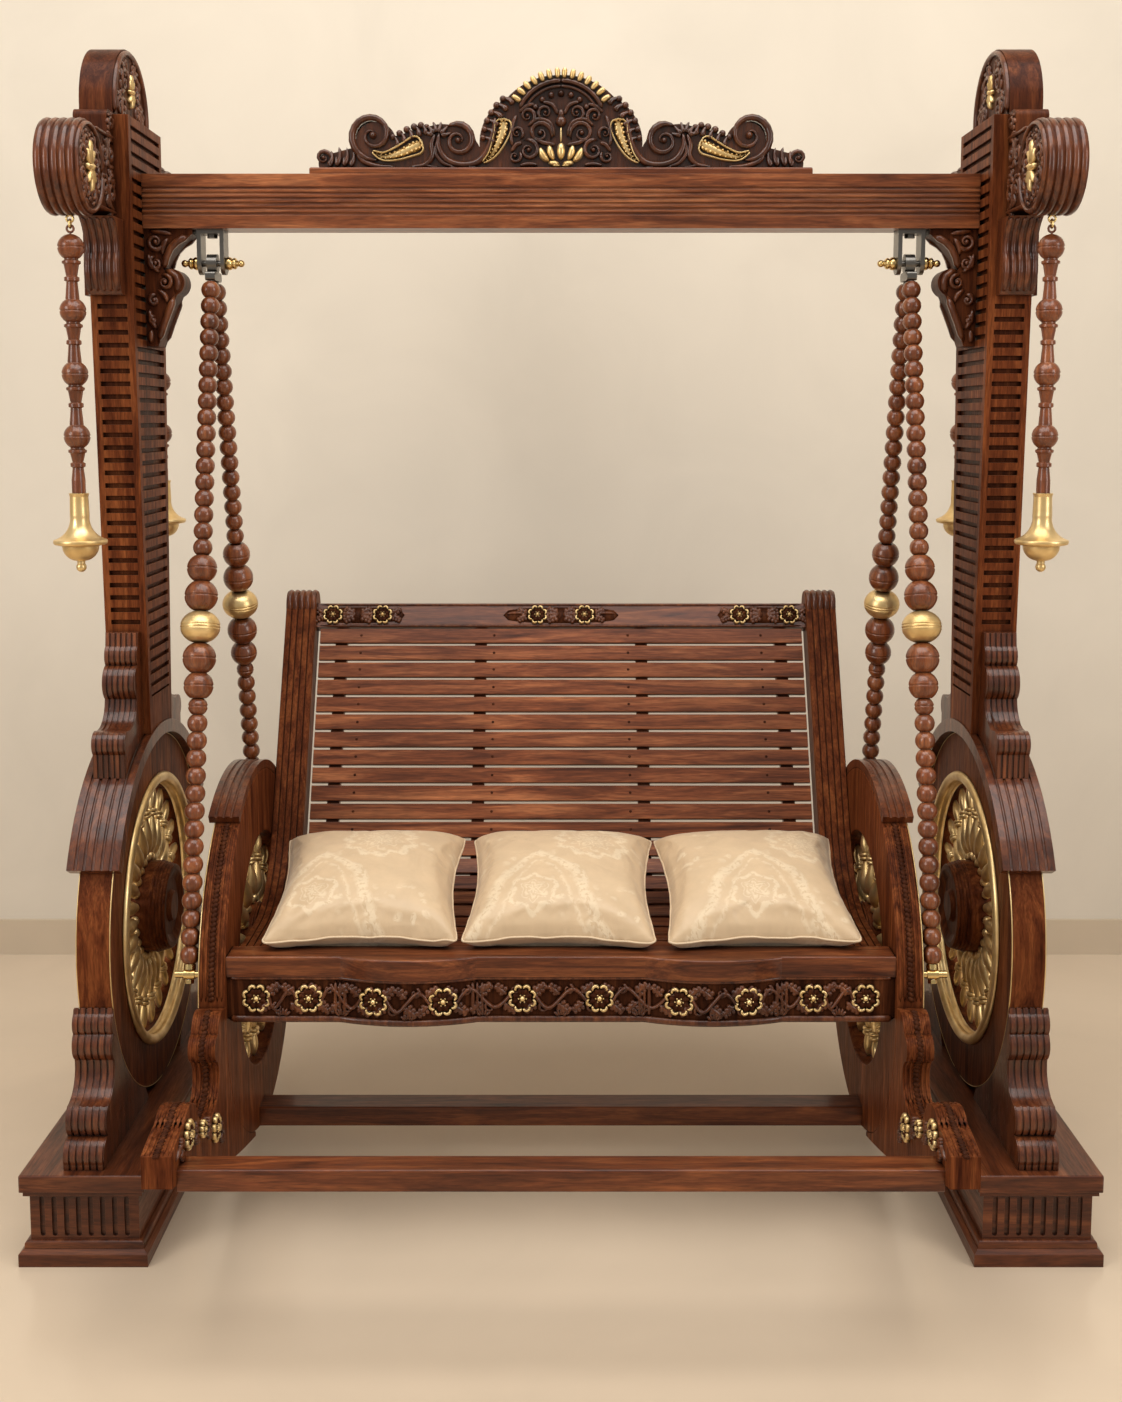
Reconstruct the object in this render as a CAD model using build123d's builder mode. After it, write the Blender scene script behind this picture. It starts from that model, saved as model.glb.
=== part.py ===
from build123d import *
from math import asin, atan2, cos, degrees, radians, sin, sqrt, tan
import os

# Jhoola swing, in millimetres, +Z up. The front is -Y, left and right are as seen from the front.
# The origin lies on the floor, in the middle of the whole swing's box.
os.makedirs("parts", exist_ok=True)

# ---- Driving dimensions: the stand
base_depth = 900            # plinth, front to back
base_width = 230
base_offset = 50            # the plinths' middle, out from the posts' inner faces
foot_reach = 760            # the foot rest's front, ahead of the pivot line
pivot_height = 1800
footing_height = 30
cornice_height = 11
slab_underside = 139
slab_thickness = 31
slab_width = 222
moulding_step = 9           # how far each moulding of the plinth stands in
flute_count = 8
flute_width = 9
flute_depth = 5

frame_offset = 45           # middle of wheels, fenders and post brackets, out from there
stand_wheel_radius = 352
stand_wheel_width = 62
wheel_let_in = 3            # flat on the rim where it sits on the slab
ring_radius = 262           # rim's bore, which the gilt ring lines
ring_wall = 16
ring_lip = 9
hub_radius = 95
hub_reach = 30              # how far the hub stands inward of the rim
stand_spoke_count = 24
fender_thickness = 26
fender_width = 95
fender_half_angle = 63
fender_grooves = 5

post_clearance = 125        # the posts' inner faces, out from the hangers
post_thickness = 80
post_shoulder = 1730        # the head sits here, on the outer part of the post
post_half_depth = 119       # at the shoulder
post_taper = 0.045          # half depth lost for each millimetre down
head_setback = 29           # of the heads, from the posts' inner faces
head_thickness = 61
arch_radius = 118
arch_rise = 145             # the arch's centre over the rolls'
shoulder_rise = 87          # the step under the arch, over the rolls' centres
shoulder_height = 80
shoulder_half = 158
roll_offset = 294
roll_height = 1937
roll_radius = 80
roll_width = 70
neck_height = 140           # of the bar that joins the rolls
neck_rise = 10
post_top_drop = 22          # the post's inner board ends under the arch's centre
louvre_pitch = 24
louvre_gap = 9
louvre_depth = 8

beam_bottom = 1863
beam_height = 102
beam_depth = 76
beam_reeds = 5
tenon_length = 18
crest_board_half = 480
crest_board_thickness = 13
crest_half = 475
crest_height = 188
crest_thickness = 42

# ---- Driving dimensions: pivots and hangers
pin_radius = 6
pivot_clearance = 0.05
ear_gap = 36                # between a clevis's two ears
ear_thickness = 8
ear_radius = 22
clevis_plate = 8
eye_width = 19
eye_radius = 18
fork_half = 31              # the eye's cross bar, front to back
fork_height = 17
fork_top = pivot_height - 17
rod_radius = 5
rod_spread_top = 22         # the rods' tops, front and back of the pivot line
rod_spread_bottom = 335
rod_bottom = 497            # height of the cross pins
bead_play = 0.3
small_bead_count = 17
small_bead_radius = 18
small_bead_length = 31.4
lower_bead_count = 14
lower_bead_radius = 18.5
cross_pin_radius = 6.5
cross_barrel_radius = 9
cross_pin_length = 62
collar_height = 9
collar_radius = 11

# ---- Driving dimensions: the bench
seat_wheel_inner = 607
seat_wheel_width = 48
rod_clearance = 20          # the rods' middle, out from the seat wheels
seat_wheel_radius = 360
seat_wheel_height = 435     # of its centre
seat_wheel_bore = 232
seat_spoke_count = 16
seat_hub_radius = 92
seat_fender_thickness = 17
seat_fender_half_angle = 32
seat_surface = 495          # top of the seat slats
seat_front = -283           # the slats' front edge, from the pivot line
seat_bend_radius = 250
back_angle = 27             # of the back, from upright
back_top_y = 366
back_top_z = 1093
slat_thickness = 12
slat_width = 33
slat_pitch = 39.3
slat_end_gap = 10           # between the slats and the stiles
batten_thickness = 20
batten_width = 26
batten_inset = 46           # the outer battens' middle, in from the slats' ends
inner_batten = 177
batten_play = 0.6           # the flat slats' edges dip this far into the bend behind them
stile_width = 66
stile_proud = 16            # the stiles stand this far over the slats
stile_thickness = 58
stile_reeds = 5
top_rail_height = 56
top_rail_thickness = 26
rail_top = 533
rail_height = 38
rail_front = -345
rail_depth = 62
apron_height = 80
apron_thickness = 24
bow_inner = 152             # each bowed stretch of the front, from the middle
bow_outer = 400
bow_depth = 23
rosette_radius = 20
rosette_thickness = 6
foot_bar_height = 37
foot_bar_depth = 52
stretcher_height = 40
stretcher_depth = 60
stretcher_bottom = 83
stretcher_y = -38           # from the pivot line
cushion_room = 104          # left over at the two ends of the row of cushions
cushion_gap = 4

# ---- Driving dimensions: the hanging bells
eye_wire = 2
eye_ring = 6                # middle radius of each round eye
eye_stand = 1               # the spindle's eye over its top bulb
link_half_length = 7
spindle_length = 453.6
bell_height = 87
bell_rim_radius = 46
spindle_bulbs = 4
spindle_bulb_radius = 23

fit = 0.2                   # glued and seated faces that curve
running = 0.3               # between parts that move past each other

# ---- Derived places
pivot_y = (foot_reach - base_depth / 2) / 2
plinth_top = slab_underside + slab_thickness
stand_wheel_height = plinth_top + stand_wheel_radius - wheel_let_in
fender_radius = stand_wheel_radius + fit + fender_thickness
beam_top = beam_bottom + beam_height
hanger_centre = seat_wheel_inner + seat_wheel_width + rod_clearance
post_inner = hanger_centre + post_clearance
head_inner = post_inner + head_setback
frame_centre = post_inner + frame_offset
base_centre = post_inner + base_offset
arch_height = roll_height + arch_rise
post_top = arch_height - post_top_drop
neck_middle = roll_height + neck_rise
sides = (("left", -1), ("right", 1))


def side_plane(x):
    """Plane seen from the right: local x is +Y from the pivot line, local y is height."""
    return Plane(origin=(x, pivot_y, 0), x_dir=(0, 1, 0), z_dir=(1, 0, 0))


def front_plane(y):
    """Plane seen from the front, y from the pivot line: local x is +X, local y is height."""
    return Plane(origin=(0, pivot_y + y, 0), x_dir=(1, 0, 0), z_dir=(0, -1, 0))


middle = Plane.YZ
pivot_plane = Plane(origin=(0, pivot_y, 0), z_dir=(0, 1, 0))


def save(piece, name):
    """Label a finished piece and write its STEP file."""
    piece.part.label = name
    export_step(piece.part, f"parts/{name}.step")


def save_pair(piece, name):
    """Write a right-hand piece and its mirror image as two nodes."""
    save(piece, f"{name}_right")
    with BuildPart() as other:
        mirror(piece.part, about=middle)
    save(other, f"{name}_left")


# ---- Plinths: a fluted die on a stepped footing, with a slab on top
die_width = base_width - 4 * moulding_step
die_depth = base_depth - 4 * moulding_step
step_top = footing_height + moulding_step + 5
die_top = slab_underside - cornice_height
flute_height = die_top - step_top - 10
with BuildPart() as plinth:
    with BuildSketch(Plane.XY):
        with Locations((base_centre, pivot_y)):
            Rectangle(base_width, base_depth)
    extrude(amount=footing_height)
    chamfer(plinth.faces().sort_by(Axis.Z)[-1].edges(), length=moulding_step * 0.8)
    with BuildSketch(Plane.XY.offset(footing_height)):
        with Locations((base_centre, pivot_y)):
            Rectangle(base_width - 2 * moulding_step, base_depth - 2 * moulding_step)
    extrude(amount=step_top - footing_height)
    fillet(plinth.faces().sort_by(Axis.Z)[-1].edges(), radius=moulding_step * 0.7)
    with BuildSketch(Plane.XY.offset(step_top)):
        with Locations((base_centre, pivot_y)):
            Rectangle(die_width, die_depth)
    extrude(amount=die_top - step_top)
    with BuildSketch(Plane.XY.offset(die_top)):
        with Locations((base_centre, pivot_y)):
            Rectangle(die_width + 2 * moulding_step, die_depth + 2 * moulding_step)
    extrude(amount=cornice_height)
    with BuildSketch(front_plane(-die_depth / 2), front_plane(die_depth / 2 - flute_depth)):
        with Locations((base_centre, (step_top + die_top) / 2)):
            with GridLocations(die_width / (flute_count + 1), 1, flute_count, 1):
                SlotOverall(flute_height, flute_width, rotation=90)
    extrude(amount=-flute_depth, mode=Mode.SUBTRACT)
save_pair(plinth, "plinth")

with BuildPart() as plinth_tops:
    with BuildSketch(Plane.XY.offset(slab_underside)):
        with Locations((base_centre, pivot_y), (-base_centre, pivot_y)):
            Rectangle(slab_width, base_depth)
    extrude(amount=slab_thickness)
    fillet(plinth_tops.edges().filter_by(Axis.Z), radius=4)
    fillet(plinth_tops.faces().filter_by(Axis.Z).group_by(Axis.Z)[-1].edges(), radius=4)
save(plinth_tops, "plinth_tops")


# ---- Stand wheels: a thick rim with a gilt ring in its bore, turned spokes and a reeded hub
rim_inner = frame_centre - stand_wheel_width / 2
with BuildPart() as stand_rim:
    with BuildSketch(side_plane(rim_inner)):
        with Locations((0, stand_wheel_height)):
            Circle(stand_wheel_radius)
            Circle(ring_radius, mode=Mode.SUBTRACT)
    extrude(amount=stand_wheel_width)
    chamfer(stand_rim.edges().filter_by(GeomType.CIRCLE), length=2.5)
    with Locations((frame_centre, pivot_y, plinth_top - wheel_let_in)):
        Box(2 * stand_wheel_width, stand_wheel_radius, 2 * wheel_let_in, mode=Mode.SUBTRACT)
save_pair(stand_rim, "stand_rim")


def gilt_ring(x, width, bore, axis_height, wall, lip):
    """Ring that lines a wheel's bore, with a bevelled lip over the rim's inner face."""
    with BuildPart() as ring:
        with BuildSketch(Plane(origin=(0, pivot_y, axis_height), x_dir=(1, 0, 0), z_dir=(0, -1, 0))):
            with BuildLine():
                Polyline(
                    (x + width, bore - wall), (x + width, bore - fit), (x - fit, bore - fit),
                    (x - fit, bore + lip), (x - 3, bore + lip), (x - 8, bore), (x, bore - wall),
                    close=True,
                )
            make_face()
        revolve(axis=Axis((0, pivot_y, axis_height), (1, 0, 0)))
    return ring


stand_ring = gilt_ring(rim_inner, stand_wheel_width, ring_radius, stand_wheel_height, ring_wall, ring_lip)
with BuildPart() as stand_rings:
    add(stand_ring.part)
    mirror(about=middle)
save(stand_rings, "stand_rings")


def hub(x, width, reach, radius, axis_height, reeds):
    """Turned hub with reeds around its inward end and a dished face."""
    reed = reach / reeds
    dish = min(8, reach / 2)
    face_radius = radius - 4 - 2 * reeds
    with BuildPart() as turned:
        with BuildSketch(Plane(origin=(0, pivot_y, axis_height), x_dir=(1, 0, 0), z_dir=(0, -1, 0))):
            with BuildLine():
                Polyline((x + width, 0), (x + width, radius - 4), (x, radius - 4))
                for i in range(reeds):
                    start = x - i * reed
                    level = radius - 4 - 2 * i
                    ThreePointArc((start, level), (start - reed / 2, level + 1), (start - reed, level - 2))
                Polyline((x - reach, face_radius), (x - reach, face_radius - 8), (x - reach + dish, radius * 0.6),
                         (x - reach + dish, radius * 0.35), (x - reach, radius * 0.3), (x - reach, 0),
                         (x + width, 0))
            make_face()
        revolve(axis=Axis((0, pivot_y, axis_height), (1, 0, 0)))
    return turned


stand_hub = hub(rim_inner, stand_wheel_width - 6, hub_reach, hub_radius, stand_wheel_height, 5)
with BuildPart() as stand_hubs:
    add(stand_hub.part)
    mirror(about=middle)
save(stand_hubs, "stand_hubs")


def baluster(length, radius):
    """Turned spoke along +X: a ball foot, a full belly, a double collar and a spear tip."""
    with BuildPart() as turned:
        with BuildSketch(Plane.XY):
            with BuildLine():
                Line((0, 0), (0, radius * 0.45))
                ThreePointArc((0, radius * 0.45), (length * 0.05, radius * 0.66), (length * 0.1, radius * 0.4))
                Spline((length * 0.1, radius * 0.4), (length * 0.27, radius), (length * 0.5, radius * 0.6),
                       (length * 0.58, radius * 0.4))
                ThreePointArc((length * 0.58, radius * 0.4), (length * 0.605, radius * 0.82),
                              (length * 0.63, radius * 0.5))
                ThreePointArc((length * 0.63, radius * 0.5), (length * 0.655, radius * 0.82),
                              (length * 0.68, radius * 0.4))
                Spline((length * 0.68, radius * 0.4), (length * 0.78, radius * 0.62), (length, radius * 0.2))
                Polyline((length, radius * 0.2), (length, 0), (0, 0))
            make_face()
        revolve(axis=Axis.X)
    return turned


stand_spoke_length = ring_radius - ring_wall - hub_radius + 4 - 2 * fit
stand_spoke = baluster(stand_spoke_length, 14)
spoke_plane = Plane(origin=(frame_centre - 6, pivot_y, stand_wheel_height), x_dir=(0, 1, 0), z_dir=(1, 0, 0))
with BuildPart(spoke_plane) as stand_spokes:
    with PolarLocations(hub_radius - 4 + fit, stand_spoke_count):
        add(stand_spoke.part)
    mirror(about=middle)
save(stand_spokes, "stand_spokes")


def fender(x, width, inner, thickness, half_angle, grooves, axis_height):
    """Arched board over a wheel, with grooves turned around its outer face."""
    outer = inner + thickness
    with BuildPart() as arched:
        with BuildSketch(Plane(origin=(x, pivot_y, axis_height), x_dir=(1, 0, 0), z_dir=(0, -1, 0))):
            with Locations((0, inner + thickness / 2)):
                Rectangle(width, thickness)
            with Locations((0, outer)):
                with GridLocations(width / (grooves + 1), 1, grooves, 1):
                    Circle(3, mode=Mode.SUBTRACT)
        revolve(axis=Axis((x, pivot_y, axis_height), (1, 0, 0)), revolution_arc=half_angle)
        mirror(about=pivot_plane)
    return arched


stand_fender = fender(frame_centre, fender_width, stand_wheel_radius + fit, fender_thickness,
                      fender_half_angle, fender_grooves, stand_wheel_height)
with BuildPart() as stand_fenders:
    add(stand_fender.part)
    mirror(about=middle)
save(stand_fenders, "stand_fenders")


# ---- Scroll legs and post brackets: reeded scrolls, front and rear, coped to the wheel
def reeded_scroll(outline, centre, width, reeds, groove, wheel_cut):
    """Block with the outline's side view, reeds down its front, and its back cut to a round of wheel_cut."""
    pitch = width / reeds
    with BuildPart() as block:
        with BuildSketch(side_plane(centre - width / 2)):
            with Locations((3, 0)):
                add(outline.sketch)
        extrude(amount=width)
        for i in range(reeds):
            with BuildSketch(side_plane(centre - width / 2 + i * pitch + groove / 2)):
                add(outline.sketch)
            extrude(amount=pitch - groove)
        with BuildSketch(side_plane(centre - width)):
            with Locations((0, stand_wheel_height)):
                Circle(wheel_cut)
        extrude(amount=2 * width, mode=Mode.SUBTRACT)
        mirror(about=pivot_plane)
        mirror(about=middle)
    return block


leg_width = 73
leg_toe = -430
leg_heel = -130
leg_top = 437
with BuildSketch() as leg_outline:
    with BuildLine():
        Polyline((leg_heel, plinth_top), (leg_toe, plinth_top), (leg_toe, 180))
        ThreePointArc((leg_toe, 180), (-428, 207), (-402, 222))
        ThreePointArc((-402, 222), (-412, 246), (-398, 274))
        ThreePointArc((-398, 274), (-358, 296), (-348, 340))
        ThreePointArc((-348, 340), (-362, 362), (-352, 390))
        ThreePointArc((-352, 390), (-357, 408), (-347, 426))
        Polyline((-347, 426), (-344, leg_top), (-300, leg_top), (leg_heel, plinth_top))
    make_face()
scroll_legs = reeded_scroll(leg_outline, base_centre, leg_width, 6, 4, stand_wheel_radius + fit)
save(scroll_legs, "scroll_legs")


def post_depth(height):
    """Half depth of a post at a height under its shoulder."""
    return post_half_depth - post_taper * (post_shoulder - height)


bracket_width = 62
bracket_top = 1092
bracket_foot = 800
with BuildSketch() as bracket_outline:
    with BuildLine():
        Polyline((-10, bracket_foot), (-214, bracket_foot), (-214, 876))
        ThreePointArc((-214, 876), (-222, 898), (-196, 918))
        ThreePointArc((-196, 918), (-140, 934), (-126, 966))
        ThreePointArc((-126, 966), (-142, 1000), (-116, 1030))
        ThreePointArc((-116, 1030), (-122, 1048), (-112, 1066))
        Polyline((-112, 1066), (-108, bracket_top), (-10, bracket_top), (-10, bracket_foot))
    make_face()
with BuildPart() as post_brackets:
    add(reeded_scroll(bracket_outline, frame_centre, bracket_width, 6, 4, fender_radius + fit).part)
    for side, sign in sides:
        with BuildSketch(side_plane(sign * frame_centre - base_width)):
            with BuildLine():
                low, high = bracket_foot - 1, bracket_top + 1
                Polyline((-post_depth(low), low), (-post_depth(high), high), (post_depth(high), high),
                         (post_depth(low), low), close=True)
            make_face()
        extrude(amount=2 * base_width, mode=Mode.SUBTRACT)
save(post_brackets, "post_brackets")


# ---- Posts: tapered, with a louvred front, back and sides; the upper part is only the inner board
post_foot = stand_wheel_height + 250
panel_foot = bracket_foot + 160
panel_border = 16
slot_length = post_thickness - 24
slot_top = post_shoulder - 20
slot_count = int((slot_top - bracket_top - 10) / louvre_pitch) + 1
with BuildSketch() as post_outline:
    with BuildLine():
        Polyline((-post_depth(post_foot), post_foot), (-post_half_depth, post_shoulder),
                 (-post_half_depth, post_top), (post_half_depth, post_top),
                 (post_half_depth, post_shoulder), (post_depth(post_foot), post_foot), close=True)
    make_face()
with BuildSketch() as panel_outline:
    add(post_outline.sketch)
    offset(amount=-panel_border)
with BuildPart() as post:
    with BuildSketch(side_plane(post_inner)):
        add(post_outline.sketch)
    extrude(amount=post_thickness)
    with BuildSketch(side_plane(head_inner)):
        with Locations((0, (post_shoulder + post_top) / 2 + 1)):
            Rectangle(2 * post_half_depth + 2, post_top - post_shoulder + 2)
    extrude(amount=post_thickness, mode=Mode.SUBTRACT)
    with BuildSketch(side_plane(post_inner - 1)):
        with Locations((0, stand_wheel_height)):
            Circle(fender_radius + fit)
    extrude(amount=post_thickness + 2, mode=Mode.SUBTRACT)
    taper_angle = atan2(post_taper, 1)
    for facing in (-1, 1):
        face = Plane(origin=(post_inner + post_thickness / 2, pivot_y + facing * post_half_depth, post_shoulder),
                     x_dir=(-facing, 0, 0), z_dir=(0, facing * cos(taper_angle), -sin(taper_angle)))
        with BuildSketch(face):
            with Locations((0, slot_top - post_shoulder - louvre_pitch * (slot_count - 1) / 2)):
                with GridLocations(1, louvre_pitch, 1, slot_count):
                    Rectangle(slot_length, louvre_gap)
        extrude(amount=-louvre_depth, mode=Mode.SUBTRACT)
    for x, panel_head in ((post_inner, post_top - panel_border),
                          (post_inner + post_thickness - louvre_depth, post_shoulder - panel_border)):
        panel_height = panel_head - panel_foot
        louvre_count = int(panel_height / louvre_pitch) + 1
        with BuildSketch(side_plane(x)):
            add(panel_outline.sketch)
            with Locations((0, panel_foot + panel_height / 2)):
                Rectangle(2 * post_half_depth, panel_height, mode=Mode.INTERSECT)
            with Locations((0, panel_foot + louvre_pitch * louvre_count / 2)):
                with GridLocations(1, louvre_pitch, 1, louvre_count):
                    Rectangle(2 * post_half_depth, louvre_pitch - louvre_gap, mode=Mode.SUBTRACT)
        extrude(amount=louvre_depth, mode=Mode.SUBTRACT)
    with Locations((post_inner + tenon_length / 2, pivot_y, beam_bottom + beam_height / 2)):
        Box(tenon_length + 2 * fit, beam_depth / 2 + 2 * fit, beam_height / 2 + 2 * fit, mode=Mode.SUBTRACT)
save_pair(post, "post")


# ---- Heads: an arch and two reeded rolls cut from one thick board, with corbels under the rolls
shoulder_middle = roll_height + shoulder_rise
with BuildPart() as head:
    with BuildSketch(side_plane(head_inner)):
        with Locations((0, arch_height)):
            Circle(arch_radius)
        with Locations((0, (arch_height + shoulder_middle) / 2)):
            Rectangle(2 * arch_radius, arch_height - shoulder_middle)
        with Locations((0, shoulder_middle)):
            RectangleRounded(2 * shoulder_half, shoulder_height, 14)
        with Locations((0, neck_middle)):
            Rectangle(2 * roll_offset, neck_height)
        with Locations((0, (post_shoulder + roll_height) / 2)):
            Rectangle(2 * post_half_depth, roll_height - post_shoulder)
        with Locations((-roll_offset, roll_height), (roll_offset, roll_height)):
            Circle(roll_radius)
    extrude(amount=head_thickness)
    head_middle = head_inner + head_thickness / 2
    for v in (-roll_offset, roll_offset):
        with BuildSketch(Plane(origin=(head_middle, pivot_y + v, roll_height), x_dir=(1, 0, 0), z_dir=(0, -1, 0))):
            with Locations((0, roll_radius / 2)):
                Rectangle(roll_width, roll_radius)
            with Locations((0, roll_radius)):
                with GridLocations(roll_width / 5, 1, 4, 1):
                    Circle(2.5, mode=Mode.SUBTRACT)
        revolve(axis=Axis((head_middle, pivot_y + v, roll_height), (1, 0, 0)))
    with Locations((head_middle, pivot_y - roll_offset, roll_height - roll_radius + 12),
                   (head_middle, pivot_y + roll_offset, roll_height - roll_radius + 12)):
        Cylinder(eye_wire + 0.1, 28, mode=Mode.SUBTRACT)
save_pair(head, "head")

corbel_width = 64
corbel_height = neck_middle - neck_height / 2 - 9 - post_shoulder
corbel_top = post_shoulder + corbel_height
with BuildSketch() as corbel_outline:
    with BuildLine():
        Line((-post_half_depth - fit, post_shoulder), (-post_half_depth - 20, post_shoulder))
        ThreePointArc((-post_half_depth - 20, post_shoulder), (-160, post_shoulder + 0.275 * corbel_height),
                      (-152, post_shoulder + 0.55 * corbel_height))
        ThreePointArc((-152, post_shoulder + 0.55 * corbel_height), (-160, post_shoulder + 0.81 * corbel_height),
                      (-186, corbel_top))
        Polyline((-186, corbel_top), (-post_half_depth - fit, corbel_top), (-post_half_depth - fit, post_shoulder))
    make_face()
with BuildPart() as corbels:
    corbel_centre = post_inner + post_thickness / 2 + 6
    with BuildSketch(side_plane(corbel_centre - corbel_width / 2)):
        add(corbel_outline.sketch)
    extrude(amount=corbel_width)
    with BuildSketch(side_plane(head_inner - fit)):
        with Locations((-roll_offset / 2, neck_middle)):
            Rectangle(roll_offset, neck_height + 2 * fit)
    extrude(amount=head_thickness + 2 * fit, mode=Mode.SUBTRACT)
    mirror(about=pivot_plane)
    mirror(about=middle)
save(corbels, "corbels")


# ---- Beam: reeded in front and behind, with stub tenons in the posts
beam_half = post_inner
reed_band = 48
with BuildPart() as beam:
    with BuildSketch(Plane(origin=(-beam_half, pivot_y, 0), x_dir=(0, 1, 0), z_dir=(1, 0, 0))):
        with Locations((0, beam_bottom + beam_height / 2)):
            Rectangle(beam_depth, beam_height)
        for v in (-beam_depth / 2, beam_depth / 2):
            with Locations((v, beam_bottom + beam_height / 2)):
                with GridLocations(1, reed_band / beam_reeds, 1, beam_reeds + 1):
                    Circle(2.8, mode=Mode.SUBTRACT)
    extrude(amount=2 * beam_half)
    with Locations((0, pivot_y, beam_bottom + beam_height / 2)):
        Box(2 * (beam_half + tenon_length), beam_depth / 2, beam_height / 2)
    for sign in (-1, 1):
        with Locations((sign * hanger_centre, pivot_y, beam_bottom + beam_height / 2)):
            Cylinder(pin_radius + 0.4, beam_height + 2, mode=Mode.SUBTRACT)
        with Locations((sign * hanger_centre, pivot_y, beam_top)):
            Cylinder(17, 16, mode=Mode.SUBTRACT)
save(beam, "beam")

# ---- Crest: a carved board on a thin plinth board in the middle of the beam
with BuildPart() as crest_board:
    with Locations((0, pivot_y, beam_top + crest_board_thickness / 2)):
        Box(2 * crest_board_half, beam_depth - 8, crest_board_thickness)
    fillet(crest_board.faces().sort_by(Axis.Z)[-1].edges(), radius=4)
save(crest_board, "crest_board")

crest_foot = beam_top + crest_board_thickness
with BuildPart() as crest:
    with BuildSketch(front_plane(crest_thickness / 2)):
        with BuildLine():
            Line((0, crest_foot), (crest_half, crest_foot))
            ThreePointArc((crest_half, crest_foot), (crest_half - 4, crest_foot + 26), (crest_half - 28, crest_foot + 32))
            ThreePointArc((crest_half - 28, crest_foot + 32), (425, crest_foot + 38), (402, crest_foot + 44))
            ThreePointArc((402, crest_foot + 44), (368, crest_foot + 94), (326, crest_foot + 66))
            ThreePointArc((326, crest_foot + 66), (290, crest_foot + 76), (262, crest_foot + 84))
            ThreePointArc((262, crest_foot + 84), (214, crest_foot + 88), (160, crest_foot + 44))
            ThreePointArc((160, crest_foot + 44), (142, crest_foot + 110), (106, crest_foot + 142))
            ThreePointArc((106, crest_foot + 142), (60, crest_foot + 176), (0, crest_foot + crest_height))
            mirror(about=Plane.YZ)
        make_face()
    extrude(amount=crest_thickness)
save(crest, "crest")

# ---- Corner brackets: scrolled, under the beam against the posts
corner_thickness = 56
corner_foot = beam_bottom - 223
with BuildPart() as corner_brackets:
    with BuildSketch(front_plane(corner_thickness / 2)):
        with BuildLine():
            Polyline((post_inner, corner_foot), (post_inner, beam_bottom), (post_inner - 92, beam_bottom),
                     (post_inner - 92, beam_bottom - 10))
            ThreePointArc((post_inner - 92, beam_bottom - 10), (post_inner - 60, beam_bottom - 34),
                          (post_inner - 36, beam_bottom - 78))
            ThreePointArc((post_inner - 36, beam_bottom - 78), (post_inner - 74, beam_bottom - 95),
                          (post_inner - 60, beam_bottom - 125))
            ThreePointArc((post_inner - 60, beam_bottom - 125), (post_inner - 40, beam_bottom - 173),
                          (post_inner - 22, corner_foot))
            Line((post_inner - 22, corner_foot), (post_inner, corner_foot))
        make_face()
    extrude(amount=corner_thickness)
    mirror(about=middle)
save(corner_brackets, "corner_brackets")


# ---- Clevises, their bolts through the beam, and the pivot pins with turned knobs
ear_outer = ear_gap / 2 + ear_thickness
plate_underside = beam_bottom - clevis_plate
with BuildPart() as clevises:
    with BuildSketch(side_plane(hanger_centre - ear_outer)):
        with Locations((0, (pivot_height + beam_bottom) / 2)):
            Rectangle(2 * ear_radius, beam_bottom - pivot_height)
        with Locations((0, pivot_height)):
            Circle(ear_radius)
            Circle(pin_radius + fit, mode=Mode.SUBTRACT)
    extrude(amount=2 * ear_outer)
    with Locations((hanger_centre, pivot_y, (plate_underside + pivot_height - ear_radius - 1) / 2)):
        Box(ear_gap, 2 * ear_radius + 2, plate_underside - pivot_height + ear_radius + 1, mode=Mode.SUBTRACT)
    with Locations((hanger_centre, pivot_y, beam_bottom)):
        Cylinder(pin_radius + 0.4, 3 * clevis_plate, mode=Mode.SUBTRACT)
    mirror(about=middle)
save(clevises, "clevises")

bolt_head = 7
nut_height = 8
nut_top = beam_top + 3
with BuildPart() as hanger_bolts:
    with BuildSketch(Plane.XY.offset(plate_underside - bolt_head)):
        with Locations((hanger_centre, pivot_y)):
            RegularPolygon(10, 6)
    extrude(amount=bolt_head)
    with BuildSketch(Plane.XY.offset(plate_underside - 1)):
        with Locations((hanger_centre, pivot_y)):
            Circle(pin_radius)
    extrude(amount=nut_top - plate_underside)
    with BuildSketch(Plane.XY.offset(beam_top - 8 + fit)):
        with Locations((hanger_centre, pivot_y)):
            Circle(15)
            Circle(pin_radius + fit, mode=Mode.SUBTRACT)
    extrude(amount=2.5)
    with BuildSketch(Plane.XY.offset(nut_top - nut_height)):
        with Locations((hanger_centre, pivot_y)):
            RegularPolygon(10, 6)
            Circle(pin_radius + fit, mode=Mode.SUBTRACT)
    extrude(amount=nut_height)
    mirror(about=middle)
save(hanger_bolts, "hanger_bolts")

pin_half = ear_outer + 20
with BuildPart() as pivot_pins:
    for sign in (-1, 1):
        with BuildSketch(side_plane(sign * hanger_centre - pin_half)):
            with Locations((0, pivot_height)):
                Circle(pin_radius)
        extrude(amount=2 * pin_half)
save(pivot_pins, "pivot_pins")

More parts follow.
